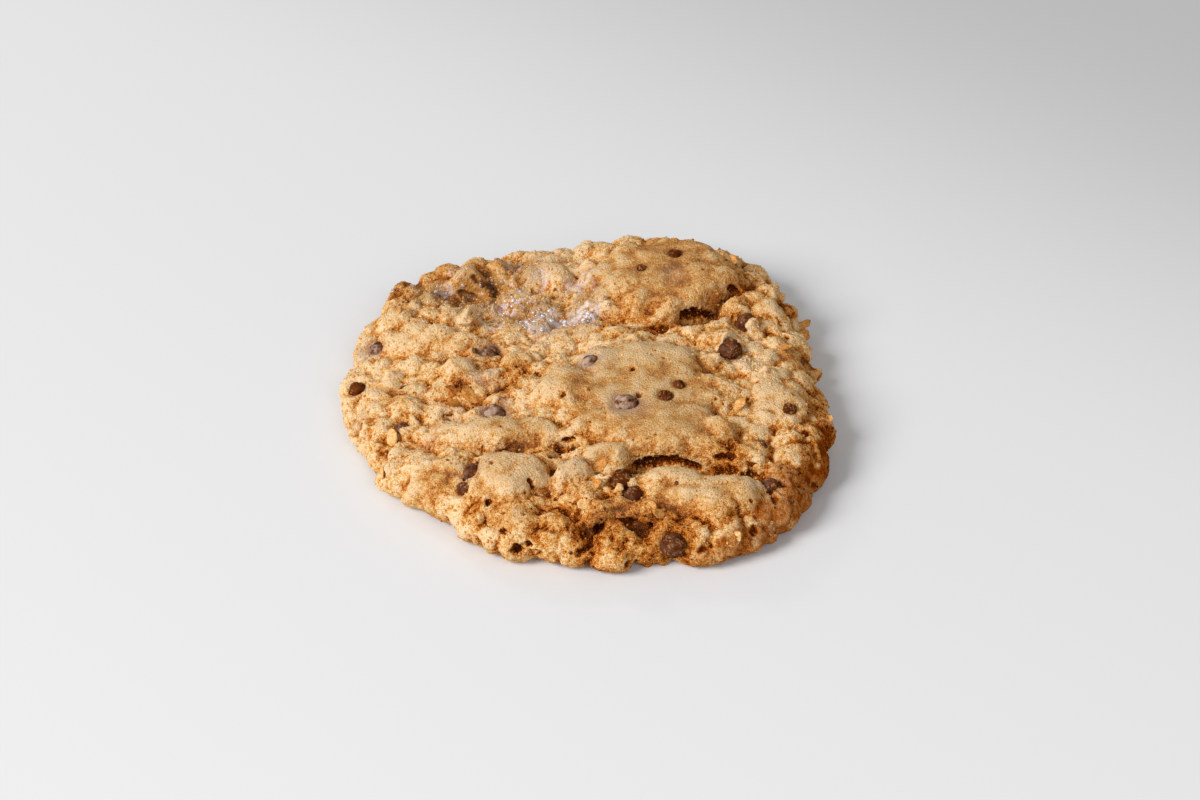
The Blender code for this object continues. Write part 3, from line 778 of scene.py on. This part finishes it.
def with_modifiers_applied(made):
    """Writes the object's modifiers into its mesh."""
    bpy.context.view_layer.update()
    graph = bpy.context.evaluated_depsgraph_get()
    mesh = bpy.data.meshes.new_from_object(made.evaluated_get(graph))
    made.modifiers.clear()
    old, made.data = made.data, mesh
    bpy.data.meshes.remove(old)
    return made


def read(items, name, width, kind=float):
    """The numbers that Blender's items keep under a name, one row for each item."""
    values = np.empty(len(items) * width, kind)
    items.foreach_get(name, values)
    return values.reshape(-1, width)


def read_points(made):
    return read(made.data.vertices, "co", 3)


def read_normals(made):
    return read(made.data.vertices, "normal", 3)


def read_edges(made):
    return read(made.data.edges, "vertices", 2, int)


def read_triangles(made):
    made.data.calc_loop_triangles()
    return read(made.data.loop_triangles, "vertices", 3, int)


def write_points(made, points):
    made.data.vertices.foreach_set("co", points.astype(np.float32).ravel())
    made.data.update()


def write_values(made, name, values):
    """Keeps one number for each vertex, which the materials read by its name."""
    layer = made.data.attributes.new(name, "FLOAT", "POINT")
    layer.data.foreach_set("value", np.asarray(values, np.float32))


def smoothed(points, edges, rounds):
    """The points after each has moved rounds times halfway to the middle of its neighbours."""
    ends = np.concatenate([edges[:, 0], edges[:, 1]])
    others = np.concatenate([edges[:, 1], edges[:, 0]])
    count = np.maximum(np.bincount(ends, minlength=len(points)), 1)[:, None]
    for _ in range(rounds):
        near = np.stack([np.bincount(ends, points[others, k], len(points)) for k in range(3)], axis=1)
        points = 0.5 * points + 0.5 * near / count
    return points


def thinned(made):
    """Fewer triangles: the underside keeps a share of its own, then the whole is brought to the limit."""
    below = made.vertex_groups.new(name="below")
    below.add(np.flatnonzero(read_points(made)[:, 2] < REST_BELOW).tolist(), 1.0, "REPLACE")
    total = 2 * len(made.data.polygons)
    flat = 2 * sum(polygon.normal.z < -0.99 for polygon in made.data.polygons)
    fewer = made.modifiers.new("fewer_below", "DECIMATE")
    fewer.vertex_group = below.name
    fewer.vertex_group_factor = 1.0
    fewer.ratio = 1 - flat * (1 - UNDERSIDE_SHARE) / total
    left = total * fewer.ratio
    with_modifiers_applied(made)
    made.vertex_groups.clear()
    fewer = made.modifiers.new("fewer", "DECIMATE")
    fewer.ratio = min(1.0, MOST_TRIANGLES / left)
    return with_modifiers_applied(made)


def far_from_chips(points, margin):
    """False for the points that lie within a chip's radius plus margin."""
    clear = np.ones(len(points), bool)
    for place, chip in zip(chip_places(), CHIPS):
        clear &= np.linalg.norm(points - place, axis=1) > chip[2] / 2 + margin
    return clear


def rough_places(points, normals, smooth):
    """Where clumps sit: all over the crumbly parts, few on the plates, none underneath."""
    upward = np.clip(normals[:, 2] + CLUMPS_ON_SIDES, 0, 1)
    return (1 - CLUMPS_OFF_PLATES * smooth) * upward * (points[:, 2] > CLUMPS_ABOVE)


def pore_places(points, normals, smooth):
    """Where pores open: mostly round the margins of the plates, in drifts."""
    x, y, z = points.T
    drift = np.clip(0.2 + 1.8 * wander(x, y, z, 5.5, 13.0), 0.02, 1)
    return (0.25 + 4 * smooth * (1 - smooth)) * drift * np.clip(normals[:, 2], 0, 1) * (z > 2)


def patches(points, table):
    """How strongly named round patches reach each point, with ragged edges."""
    x, y, z = points.T
    ragged = waves(x, y, z, PATCH_WAVES)
    value = np.zeros(len(points))
    for cx, cy, radius, strength in table:
        away = np.hypot(x - cx, y - cy) / radius + ragged
        value = np.maximum(value, strength / (1 + np.exp((away - PATCH_EDGE) * PATCH_SHARPNESS)))
    return value


def sunken(points, places, radii, depth_share):
    """How deep ragged pores and holes go at each point, and 1 where a point lies in one."""
    finder = kdtree.KDTree(len(points))
    for number, point in enumerate(points):
        finder.insert(point, number)
    finder.balance()
    depth = np.zeros(len(points))
    inside = np.zeros(len(points))
    for place, radius in zip(places, radii):
        for point, number, away in finder.find_range(place, radius * PIT_REACH):
            ragged = 1 + PIT_RAGGED * noise.noise(point / PIT_RAGGED_SIZE)
            here = max(0.0, 1 - (away / (radius * ragged)) ** 2)
            depth[number] = max(depth[number], radius * depth_share * here)
            inside[number] = max(inside[number], here)
    return depth, inside


def hole_places(points):
    """Places and radii of the open holes, on the surface, and of a row of pits along each slit."""
    places, radii = [], []
    for x, y, radius in HOLES:
        places.append(points[np.argmin(np.hypot(points[:, 0] - x, points[:, 1] - y) - 0.01 * points[:, 2])])
        radii.append(radius)
    for *ends, radius in SLITS:
        start, end = np.array(ends[:3]), np.array(ends[3:])
        for share in np.linspace(0, 1, int(np.linalg.norm(end - start) / (PIT_SPACING * radius)) + 2):
            places.append(start + (end - start) * share)
            radii.append(radius)
    return places, radii


def vertex_normals(points, triangles):
    corners = points[triangles]
    cross = np.cross(corners[:, 1] - corners[:, 0], corners[:, 2] - corners[:, 0])
    total = np.zeros(np.shape(points))
    for axis in range(3):
        for corner in range(3):
            total[:, axis] += np.bincount(triangles[:, corner], cross[:, axis], len(points))
    return total / np.maximum(np.linalg.norm(total, axis=1), 1e-9)[:, None]


def named_clumps(templates):
    """The clumps that stand out, each set on the bare dough."""
    x, y, radius, lift = np.array(CLUMPS).T
    places, facings = place_on_dough(x, y)
    places = places + facings * (radius * lift)[:, None]
    rng = np.random.default_rng(SCATTER_SEED + 2)
    return scattered(templates, places, facings, radius, rng)


def dough():
    """The dough in full: form, clumps, one closed skin, its pores and its fine roughness."""
    rng = np.random.default_rng(SCATTER_SEED)
    form = mesh_arrays(dough_form())
    normals = vertex_normals(*form)
    weight = rough_places(form[0], normals, smoothness(*form[0].T[:2]))
    places, facings = surface_samples(form, CLUMP_COUNT, weight, rng)
    sizes = uneven_sizes(rng, CLUMP_RADII, CLUMP_COUNT, CLUMP_SMALLNESS)
    keep = far_from_chips(places, CLUMP_CLEARANCE)
    places, facings, sizes = places[keep], facings[keep], sizes[keep]
    places = places - facings * (sizes * rng.uniform(*CLUMP_SUNK, len(sizes)))[:, None]
    shapes = crumb_shapes(*CLUMP_SHAPES)
    parts = (form, scattered(shapes, places, facings, sizes, rng), named_clumps(shapes))
    made = new_object("cookie_dough", *merged(parts))
    skin = made.modifiers.new("skin", "REMESH")
    skin.mode = "VOXEL"
    skin.voxel_size = VOXEL
    with_modifiers_applied(made)

    edges = read_edges(made)
    points = smoothed(read_points(made), edges, SKIN_ROUNDS)
    smooth = smoothness(*points.T[:2])
    softer = smoothed(points, edges, CRUST_ROUNDS)
    points = points + (softer - points) * smooth[:, None]
    write_points(made, points)

    normals = read_normals(made)
    x, y, z = points.T
    ragged = points + COBBLE_WARP * shaken(points, COBBLE_WARP_SIZE)
    crumbs = sum(height * (cobbles(ragged, size, shift) - COBBLE_MIDDLE) for height, size, shift in COBBLES)
    crumbs = nudged(crumbs, x, y, z, CRUMB_WAVES)
    rise = crumbs + (waves(x, y, z, CRUST_WAVES) + CRUMBS_ON_CRUST * crumbs - crumbs) * smooth
    weight = pore_places(points, normals, smooth)
    pores, _ = surface_samples((points, read_triangles(made)), PORE_COUNT, weight, rng)
    pore_depth, in_pore = sunken(points, pores, rng.uniform(*PORE_RADII, PORE_COUNT), PORE_DEPTH)
    hole_depth, in_hole = sunken(points, *hole_places(points), HOLE_DEPTH)
    rise = rise * np.clip(z, 0, 1) * (1 - chip_dents(points)) - np.maximum(pore_depth, hole_depth)
    points = points + normals * rise[:, None]
    points[:, 2] = np.where(points[:, 2] < FLATTENED_BELOW, 0.0, points[:, 2])
    write_points(made, points)
    # How dark the pores and holes are painted, as shade inside them
    write_values(made, "pore", np.maximum(PORE_DARKNESS * in_pore, HOLE_DARKNESS * in_hole))
    return thinned(made)


def hollows(points, normals, edges):
    """How far each point lies below its neighbourhood, in millimetres, close round it and farther off."""
    depths, softer = [], points
    for rounds in HOLLOW_ROUNDS:
        softer = smoothed(softer, edges, rounds)
        depths.append(((softer - points) * normals).sum(axis=1))
    return depths


def colour_dough(made):
    """Works out where the dough is baked, glazed, browned and veiled, and where shade and glints are
    painted on it.
    """
    points, normals = read_points(made), read_normals(made)
    x, y, z = points.T
    pore = read(made.data.attributes["pore"].data, "value", 1, np.float32)[:, 0]
    smooth = smoothness(x, y)
    bake = nudged(BAKE_START - CRUST_PALENESS * smooth, x, y, z, BAKE_WAVES)
    # Hollows darken and tops lighten the bake, partly as painted shade
    for depth, (weight, least, most) in zip(hollows(points, normals, read_edges(made)), HOLLOW_BAKES_AND_SHADES):
        bake = bake + np.clip(weight * depth, least, most)
    bake = bake + patches(points, TOASTED) - patches(points, PALE)
    in_crack = np.max([near * depth for near, depth in crack_closeness(x, y)], axis=0) / CRACK_FULL_DEPTH
    # Darker towards the bottom
    bake = bake + LOW_DARKENING * np.clip((LOW_HEIGHT - z) / LOW_HEIGHT, 0, 1)
    # Painted shade in pores, holes, slits and cracks
    bake = bake + PORE_SHADE * pore + CRACK_SHADE * np.clip(in_crack, 0, 1) ** 2
    caramel = np.clip(CARAMEL_STRENGTH * patches(points, CARAMEL), 0, 1)
    write_values(made, "bake", np.clip(bake + CARAMEL_BAKE * caramel, 0, 1))
    # The tan crust is kept off pores, holes and cracks, so that their painted shade stays dark
    bare_crust = np.clip(1 - 2 * pore, 0, 1) * np.clip(1 - in_crack, 0, 1) * (1 - caramel)
    write_values(made, "crust", smooth * bare_crust)
    write_values(made, "caramel", caramel)
    write_values(made, "bloom_and_highlight", patches(points, BLOOM))
    write_values(made, "glaze", patches(points, GLAZE))
    # The glint patches are painted highlights on the glaze
    write_values(made, "glint", patches(points, GLINTS))
    return points, read_triangles(made), rough_places(points, normals, smooth)


def chocolate_chips(surface, rng):
    """The chips, as drops half sunk in their dents, and the small broken specks of chocolate."""
    shapes = crumb_shapes(*CHIP_SHAPES)
    parts, bloom_and_highlight = [], []
    x, y = np.array(CHIPS).T[:2]
    _, facings = place_on_dough(x, y)
    for number, (place, facing, chip) in enumerate(zip(chip_places(), facings, CHIPS)):
        points, triangles = shapes[number % len(shapes)]
        shaped = laid(points, place, facing, chip[2] / 2, rng.uniform(0, 2 * math.pi), 0.0)
        # The veil on the lit left side is partly a painted highlight
        left = np.clip(VEIL_AND_HIGHLIGHT_MIDDLE - (shaped - place)[:, 0] / chip[2] * VEIL_AND_HIGHLIGHT_SLOPE, 0, 1)
        parts.append((shaped, triangles))
        bloom_and_highlight.append(chip[4] * left)
    places, facings = surface_samples(surface, SPECK_COUNT, surface[2], rng)
    sizes = rng.uniform(*SPECK_RADII, SPECK_COUNT)
    parts.append(scattered(crumb_shapes(*SPECK_SHAPES), places, facings, sizes, rng))
    bloom_and_highlight.append(np.full(len(parts[-1][0]), SPECK_VEIL))
    made = new_object("chocolate_chips", *merged(parts))
    write_values(made, "bloom_and_highlight", np.concatenate(bloom_and_highlight))
    return made


def oat_flakes(surface, rng):
    """Oat flakes: the ones that stand out, then more by chance between the plates."""
    shapes = [flake_template(number) for number in range(FLAKE_SHAPES)]
    x, y = np.array(FLAKES).T[:2]
    rows = [
        (place + facing * FLAKE_LIFT, facing, *flake[2:])
        for place, facing, flake in zip(*place_on_dough(x, y), FLAKES)
    ]
    places, facings = surface_samples(surface, LOOSE_FLAKES, surface[2] * (surface[0][:, 2] > 3), rng)
    keep = far_from_chips(places, LOOSE_FLAKE_CLEARANCE)
    for place, facing in zip(places[keep], facings[keep]):
        length = rng.uniform(*LOOSE_FLAKE_LENGTHS)
        turn, tilt, bake = rng.uniform(LOOSE_FLAKE_LEAST, LOOSE_FLAKE_MOST)
        width = length * rng.uniform(*LOOSE_FLAKE_WIDTHS)
        rows.append((place - LOOSE_FLAKE_SINK * facing, facing, length, width, turn, tilt, bake))
    parts, bakes = [], []
    for number, (place, facing, length, width, turn, tilt, bake) in enumerate(rows):
        points, triangles = shapes[number % len(shapes)]
        size = np.array((length, width, length))
        parts.append((laid(points, place, facing, size, math.radians(turn), math.radians(tilt)), triangles))
        # The flakes' undersides are painted darker, as shade under them
        below = np.clip(-points[:, 2], 0, 0.2)
        bakes.append(bake + FLAKE_UNDER_SHADE * below + FLAKE_EDGE_BAKE * np.hypot(*points.T[:2]))
    made = new_object("oat_flakes", *merged(parts))
    write_values(made, "bake", np.concatenate(bakes))
    return made


def crumb_grains(surface, rng):
    """Small loose grains of dough all over the rough places."""
    bare = 1 - GRAINS_OFF_CARAMEL * patches(surface[0], CARAMEL)
    places, facings = surface_samples(surface, GRAIN_COUNT, surface[2] * bare, rng)
    keep = far_from_chips(places, GRAIN_CLEARANCE) | (rng.uniform(0, 1, GRAIN_COUNT) < GRAINS_ON_CHIPS)
    places, facings = places[keep], facings[keep]
    sizes = uneven_sizes(rng, GRAIN_RADII, len(places), GRAIN_SMALLNESS)
    shapes = crumb_shapes(*GRAIN_SHAPES)
    made = new_object("crumb_grains", *scattered(shapes, places, facings, sizes, rng))
    tone = GRAIN_BAKE + GRAIN_WAVE * wander(*places.T, 3.0, 8.0) + rng.uniform(*GRAIN_TONES, len(places))
    tone = tone + patches(places, TOASTED) + GRAIN_CARAMEL_BAKE * patches(places, CARAMEL)
    write_values(made, "bake", np.repeat(np.clip(tone, 0, 1), len(shapes[0][0])))
    return made


def glaze_beads(surface, rng):
    """Beads of boiled sugar in the glazed corner, milky by chance and whiter where highlights are painted.
    """
    glazed = patches(surface[0], GLAZE) ** 2
    places, facings = surface_samples(surface, BEAD_COUNT, glazed * surface[2], rng)
    sizes = rng.uniform(*BEAD_RADII, BEAD_COUNT)
    shapes = crumb_shapes(*BEAD_SHAPES)
    made = new_object("glaze_beads", *scattered(shapes, places, facings, sizes, rng))
    # Milky by chance, and whiter under the glint patches as painted highlight
    milky_and_glint = rng.uniform(0, BEAD_MILKINESS, BEAD_COUNT) + patches(places, GLINTS)
    write_values(made, "milky_and_glint", np.repeat(np.clip(milky_and_glint, 0, 1), len(shapes[0][0])))
    return made


def feed(tree, socket, value):
    """Links a socket to an input, or writes a plain number or colour to it."""
    if isinstance(value, bpy.types.NodeSocket):
        tree.links.new(value, socket)
    else:
        socket.default_value = (*value, 1.0) if isinstance(value, tuple) else value


def calc(tree, operation, first, second, clamp=False):
    """A Math node's result. first and second are sockets or plain numbers."""
    made = tree.nodes.new("ShaderNodeMath")
    made.operation = operation
    made.use_clamp = clamp
    feed(tree, made.inputs[0], first)
    feed(tree, made.inputs[1], second)
    return made.outputs[0]


def times(tree, first, second, clamp=False):
    return calc(tree, "MULTIPLY", first, second, clamp)


def plus(tree, first, second, clamp=False):
    return calc(tree, "ADD", first, second, clamp)


def stretch(tree, value, low, high):
    """0 where value is low and 1 where it is high, smooth between."""
    made = tree.nodes.new("ShaderNodeMapRange")
    made.interpolation_type = "SMOOTHSTEP"
    made.inputs["From Min"].default_value = low
    made.inputs["From Max"].default_value = high
    tree.links.new(value, made.inputs["Value"])
    return made.outputs["Result"]


def mixed(tree, amount, first, second):
    """first turning into second. Each colour is a socket or a plain colour."""
    made = tree.nodes.new("ShaderNodeMix")
    made.data_type = "RGBA"
    factor, *colours = (made.inputs[number] for number in MIX_INPUTS)
    feed(tree, factor, amount)
    feed(tree, colours[0], first)
    feed(tree, colours[1], second)
    return made.outputs[MIX_RESULT]


def stored(tree, name):
    """The number that a piece keeps under this name."""
    made = tree.nodes.new("ShaderNodeAttribute")
    made.attribute_name = name
    return made.outputs["Fac"]


def object_place(tree):
    return tree.nodes.new("ShaderNodeTexCoord").outputs["Object"]


def texture(tree, kind, size):
    """A texture node on the piece's own coordinates. size, in millimetres, is a number or a socket."""
    made = tree.nodes.new(kind)
    tree.links.new(object_place(tree), made.inputs["Vector"])
    tree.links.new(calc(tree, "DIVIDE", 1 / MM, size), made.inputs["Scale"])
    return made


def cloudy(tree, size, detail=3.0, roughness=0.55):
    """Noise with clouds about size millimetres across."""
    made = texture(tree, "ShaderNodeTexNoise", size)
    made.inputs["Detail"].default_value = detail
    made.inputs["Roughness"].default_value = roughness
    return made.outputs["Fac"]


def cells(tree, size):
    """Distance to the nearest of many scattered points about size millimetres apart."""
    return texture(tree, "ShaderNodeTexVoronoi", size).outputs["Distance"]


def new_group(name, inputs, outputs):
    """An empty shader node group with named sockets, its input sockets and its output node."""
    group = bpy.data.node_groups.new(name, "ShaderNodeTree")
    for socket in inputs:
        group.interface.new_socket(socket, in_out="INPUT", socket_type="NodeSocketFloat")
    for socket, kind in outputs:
        group.interface.new_socket(socket, in_out="OUTPUT", socket_type=kind)
    source = group.nodes.new("NodeGroupInput")
    result = group.nodes.new("NodeGroupOutput")
    return group, source.outputs, result.inputs


def bake_group():
    """Colour of baked dough from pale to nearly burnt."""
    group, source, result = new_group("baked_colour", ("Bake",), (("Color", "NodeSocketColor"),))
    ramp = group.nodes.new("ShaderNodeValToRGB")
    stops = ramp.color_ramp.elements
    stops[0].position, stops[0].color = BAKE_TONES[0][0], (*BAKE_TONES[0][1], 1.0)
    stops[1].position, stops[1].color = BAKE_TONES[-1][0], (*BAKE_TONES[-1][1], 1.0)
    for position, colour in BAKE_TONES[1:-1]:
        stops.new(position).color = (*colour, 1.0)
    group.links.new(source["Bake"], ramp.inputs["Fac"])
    group.links.new(ramp.outputs["Color"], result["Color"])
    return group


def grain_group():
    """Sandy grain of a size in millimetres: a height for bumps, a mottle, and specks where pores are."""
    outputs = tuple((name, "NodeSocketFloat") for name in ("Height", "Sand", "Mottle", "Specks"))
    group, source, result = new_group("sandy_grain", ("Size",), outputs)
    size = source["Size"]
    sand = cloudy(group, size, detail=4.0, roughness=0.65)
    mottle = cloudy(group, times(group, size, 2.6), detail=4.0, roughness=0.6)
    beads = calc(group, "SUBTRACT", 1.0, cells(group, times(group, size, 1.7)))
    pore = stretch(group, cells(group, times(group, size, 3.4)), 0.24, 0.12)
    drift = stretch(group, cloudy(group, times(group, size, 12.0), detail=1.0), 0.50, 0.62)
    specks = times(group, pore, drift)
    height = plus(group, times(group, sand, 0.6), times(group, beads, 0.5))
    height = calc(group, "SUBTRACT", height, times(group, specks, 0.5))
    for name, value in (("Height", height), ("Mottle", mottle), ("Specks", specks), ("Sand", sand)):
        group.links.new(value, result[name])
    return group


def placed_group(tree, group, value):
    """The outputs of a group whose one input is fed by value."""
    made = tree.nodes.new("ShaderNodeGroup")
    made.node_tree = group
    feed(tree, made.inputs[0], value)
    return made.outputs


def new_material(name, roughness, specular, subsurface=0.0):
    """A material, its node tree and its shader's sockets."""
    made = bpy.data.materials.new(name)
    made.use_nodes = True
    sockets = made.node_tree.nodes["Principled BSDF"].inputs
    sockets["Roughness"].default_value = roughness
    sockets["Specular IOR Level"].default_value = specular
    sockets["Subsurface Weight"].default_value = subsurface
    sockets["Subsurface Radius"].default_value = (1.0, 0.5, 0.25)
    sockets["Subsurface Scale"].default_value = MM
    return made, made.node_tree, sockets


def bumped(tree, sockets, height, depth, strength):
    """Feeds a height to the shader as bumps depth millimetres deep."""
    bump = tree.nodes.new("ShaderNodeBump")
    bump.inputs["Strength"].default_value = strength
    bump.inputs["Distance"].default_value = depth * MM
    tree.links.new(height, bump.inputs["Height"])
    tree.links.new(bump.outputs["Normal"], sockets["Normal"])


def crust(tree, groups, grain_size, mottle_share):
    """Colour of baked dough that reads the piece's own bake, with painted shade in its grain's low spots
    and pore specks, and the height of its grain.
    """
    grain = placed_group(tree, groups["grain"], grain_size)
    mottle = times(tree, calc(tree, "SUBTRACT", grain["Mottle"], 0.5), mottle_share)
    sand = times(tree, calc(tree, "SUBTRACT", 0.5, grain["Sand"]), SAND_SHADE_SHARE * mottle_share)
    specks = times(tree, grain["Specks"], SPECK_SHADE_SHARE)
    bake = plus(tree, plus(tree, stored(tree, "bake"), plus(tree, mottle, sand)), specks, clamp=True)
    return placed_group(tree, groups["bake"], bake)["Color"], grain["Height"]


def varied(tree, base, share, mask):
    """A base value raised by a share of a mask."""
    return plus(tree, base, times(tree, mask, share))


def dough_material(groups):
    made, tree, sockets = new_material("baked_dough", roughness=0.62, specular=0.0, subsurface=0.12)
    colour, height = crust(tree, groups, grain_size=0.22, mottle_share=0.9)
    glaze = stored(tree, "glaze")
    # Painted highlight: white glints in streaks over the glint patches
    streaks = stretch(tree, cloudy(tree, 1.3, detail=4.0, roughness=0.65), 0.42, 0.56)
    glint = times(tree, stored(tree, "glint"), streaks)
    veil = times(tree, stored(tree, "bloom_and_highlight"), stretch(tree, cloudy(tree, 0.9), 0.30, 0.52))
    layers = (
        (stored(tree, "crust"), 0.46, CRUST_TAN),
        (glaze, 0.60, GLAZE_AMBER),
        (glint, 0.80, GLAZE_WHITE_AND_GLINT),
        (veil, 0.85, BLOOM_AND_HIGHLIGHT_GREY),
        (stored(tree, "caramel"), 0.65, CARAMEL_BROWN),
    )
    for mask, share, tone in layers:
        colour = mixed(tree, times(tree, mask, share), colour, tone)
    tree.links.new(colour, sockets["Base Color"])
    dull = varied(tree, 0.60, 0.16, cloudy(tree, 2.0))
    tree.links.new(varied(tree, dull, -0.34, glaze), sockets["Roughness"])
    tree.links.new(times(tree, glaze, 0.5), sockets["Coat Weight"])
    sockets["Coat Roughness"].default_value = 0.16
    bumped(tree, sockets, height, depth=0.40, strength=0.9)
    return made


def chocolate_material(groups):
    made, tree, sockets = new_material("chocolate", roughness=0.40, specular=0.01)
    mottle = placed_group(tree, groups["grain"], 0.5)["Mottle"]
    colour = mixed(tree, stretch(tree, mottle, 0.40, 0.68), CHOCOLATE, CHOCOLATE_LIGHT)
    patchy = stretch(tree, cloudy(tree, 1.1, detail=4.0, roughness=0.6), 0.36, 0.60)
    drift = stretch(tree, cloudy(tree, 1.8, detail=2.0), 0.44, 0.60)
    dust = times(tree, stretch(tree, cloudy(tree, 0.4), 0.50, 0.60), drift)
    colour = mixed(tree, times(tree, dust, 0.7), colour, CHIP_DUST)
    # The pale film is partly bloom and partly a painted highlight on the chips' lit left sides
    film_and_highlight = times(tree, stored(tree, "bloom_and_highlight"), patchy, clamp=True)
    tree.links.new(mixed(tree, film_and_highlight, colour, BLOOM_AND_HIGHLIGHT_GREY), sockets["Base Color"])
    tree.links.new(varied(tree, 0.30, 0.35, film_and_highlight), sockets["Roughness"])
    bumped(tree, sockets, mottle, depth=0.18, strength=0.5)
    return made


def baked_material(groups, name, roughness, grain_size, mottle_share, bump_depth, bump_strength):
    """Plain baked dough or oats, its node tree and its shader's sockets."""
    made, tree, sockets = new_material(name, roughness, specular=0.02, subsurface=0.10)
    colour, height = crust(tree, groups, grain_size, mottle_share)
    tree.links.new(colour, sockets["Base Color"])
    bumped(tree, sockets, height, bump_depth, bump_strength)
    return made, tree, sockets


def flake_material(groups):
    made, tree, sockets = baked_material(groups, "toasted_oats", 0.55, 0.26, 0.6, 0.12, 0.6)
    tree.links.new(varied(tree, 0.46, 0.2, cloudy(tree, 1.2)), sockets["Roughness"])
    return made


def grain_material(groups):
    return baked_material(groups, "dough_crumbs", 0.6, 0.2, 0.5, 0.06, 0.5)[0]


def glaze_material(groups):
    made, tree, sockets = new_material("boiled_sugar", roughness=0.12, specular=0.5, subsurface=0.25)
    mottle = placed_group(tree, groups["grain"], 0.4)["Mottle"]
    # The beads turn white where they are milky and where highlights are painted
    milky_and_glint = times(tree, stored(tree, "milky_and_glint"), stretch(tree, mottle, 0.3, 0.6))
    tree.links.new(mixed(tree, milky_and_glint, GLAZE_AMBER, GLAZE_WHITE_AND_GLINT), sockets["Base Color"])
    tree.links.new(varied(tree, 0.08, 0.14, mottle), sockets["Roughness"])
    sockets["Coat Weight"].default_value = 0.8
    sockets["Coat Roughness"].default_value = 0.05
    return made


def finished(made, material):
    """Brings a piece from millimetres to metres, shades it smooth and gives it its finish and its body."""
    made.data.transform(Matrix.Scale(MM, 4))
    made.data.shade_smooth()
    made.data.materials.clear()
    made.data.materials.append(material)
    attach(made, "root")


def floor():
    """A wide pale sheet under the cookie, with painted shade that darkens it towards the back right."""
    bm = bmesh.new()
    bmesh.ops.create_circle(bm, cap_ends=True, segments=96, radius=FLOOR_RADIUS)
    mesh = bpy.data.meshes.new("pale_sheet")
    bm.to_mesh(mesh)
    bm.free()
    made = bpy.data.objects.new("pale_sheet", mesh)
    bpy.context.scene.collection.objects.link(made)
    paper, tree, sockets = new_material("matte_paper", roughness=0.9, specular=0.1)
    place = tree.nodes.new("ShaderNodeSeparateXYZ")
    tree.links.new(object_place(tree), place.inputs["Vector"])
    slant = varied(tree, place.outputs["Y"], FLOOR_SHADE_SLANT, place.outputs["X"])
    painted_falloff = stretch(tree, varied(tree, slant, 0.01, cloudy(tree, 60.0, detail=2.0)), *FLOOR_SHADE_FADE)
    tree.links.new(mixed(tree, painted_falloff, FLOOR_WHITE, FLOOR_SHADED), sockets["Base Color"])
    made.data.materials.append(paper)


def camera():
    data = bpy.data.cameras.new("photo_camera")
    data.lens = CAMERA_LENS
    made = bpy.data.objects.new("photo_camera", data)
    lift = math.radians(CAMERA_ELEVATION)
    back = Vector((0, -math.cos(lift), math.sin(lift))) * CAMERA_DISTANCE * MM
    made.location = Vector(CAMERA_TARGET) * MM + back
    made.rotation_euler = (math.pi / 2 - lift, 0, 0)
    bpy.context.scene.collection.objects.link(made)
    bpy.context.scene.camera = made


def lights():
    for name, place, size, power in LIGHTS:
        data = bpy.data.lights.new(name, "AREA")
        data.shape = "DISK"
        data.size = size
        data.energy = power
        made = bpy.data.objects.new(name, data)
        made.location = place
        made.rotation_euler = Vector(place).to_track_quat("Z", "Y").to_euler()
        bpy.context.scene.collection.objects.link(made)
    room = bpy.data.worlds.new("soft_room")
    room.use_nodes = True
    room.node_tree.nodes["Background"].inputs["Color"].default_value = (1.0, 1.0, 1.0, 1.0)
    room.node_tree.nodes["Background"].inputs["Strength"].default_value = ROOM_LIGHT
    bpy.context.scene.world = room


def cookie():
    """All the pieces of the cookie, made in millimetres and then finished."""
    rng = np.random.default_rng(SCATTER_SEED + 1)
    body = dough()
    surface = colour_dough(body)
    groups = {"bake": bake_group(), "grain": grain_group()}
    finish_of = (
        (body, dough_material),
        (chocolate_chips(surface, rng), chocolate_material),
        (oat_flakes(surface, rng), flake_material),
        (crumb_grains(surface, rng), grain_material),
        (glaze_beads(surface, rng), glaze_material),
    )
    for piece, material in finish_of:
        finished(piece, material(groups))
    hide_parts("cookie")


cookie()
floor()
lights()
camera()
bpy.context.scene.view_settings.view_transform = "Standard"
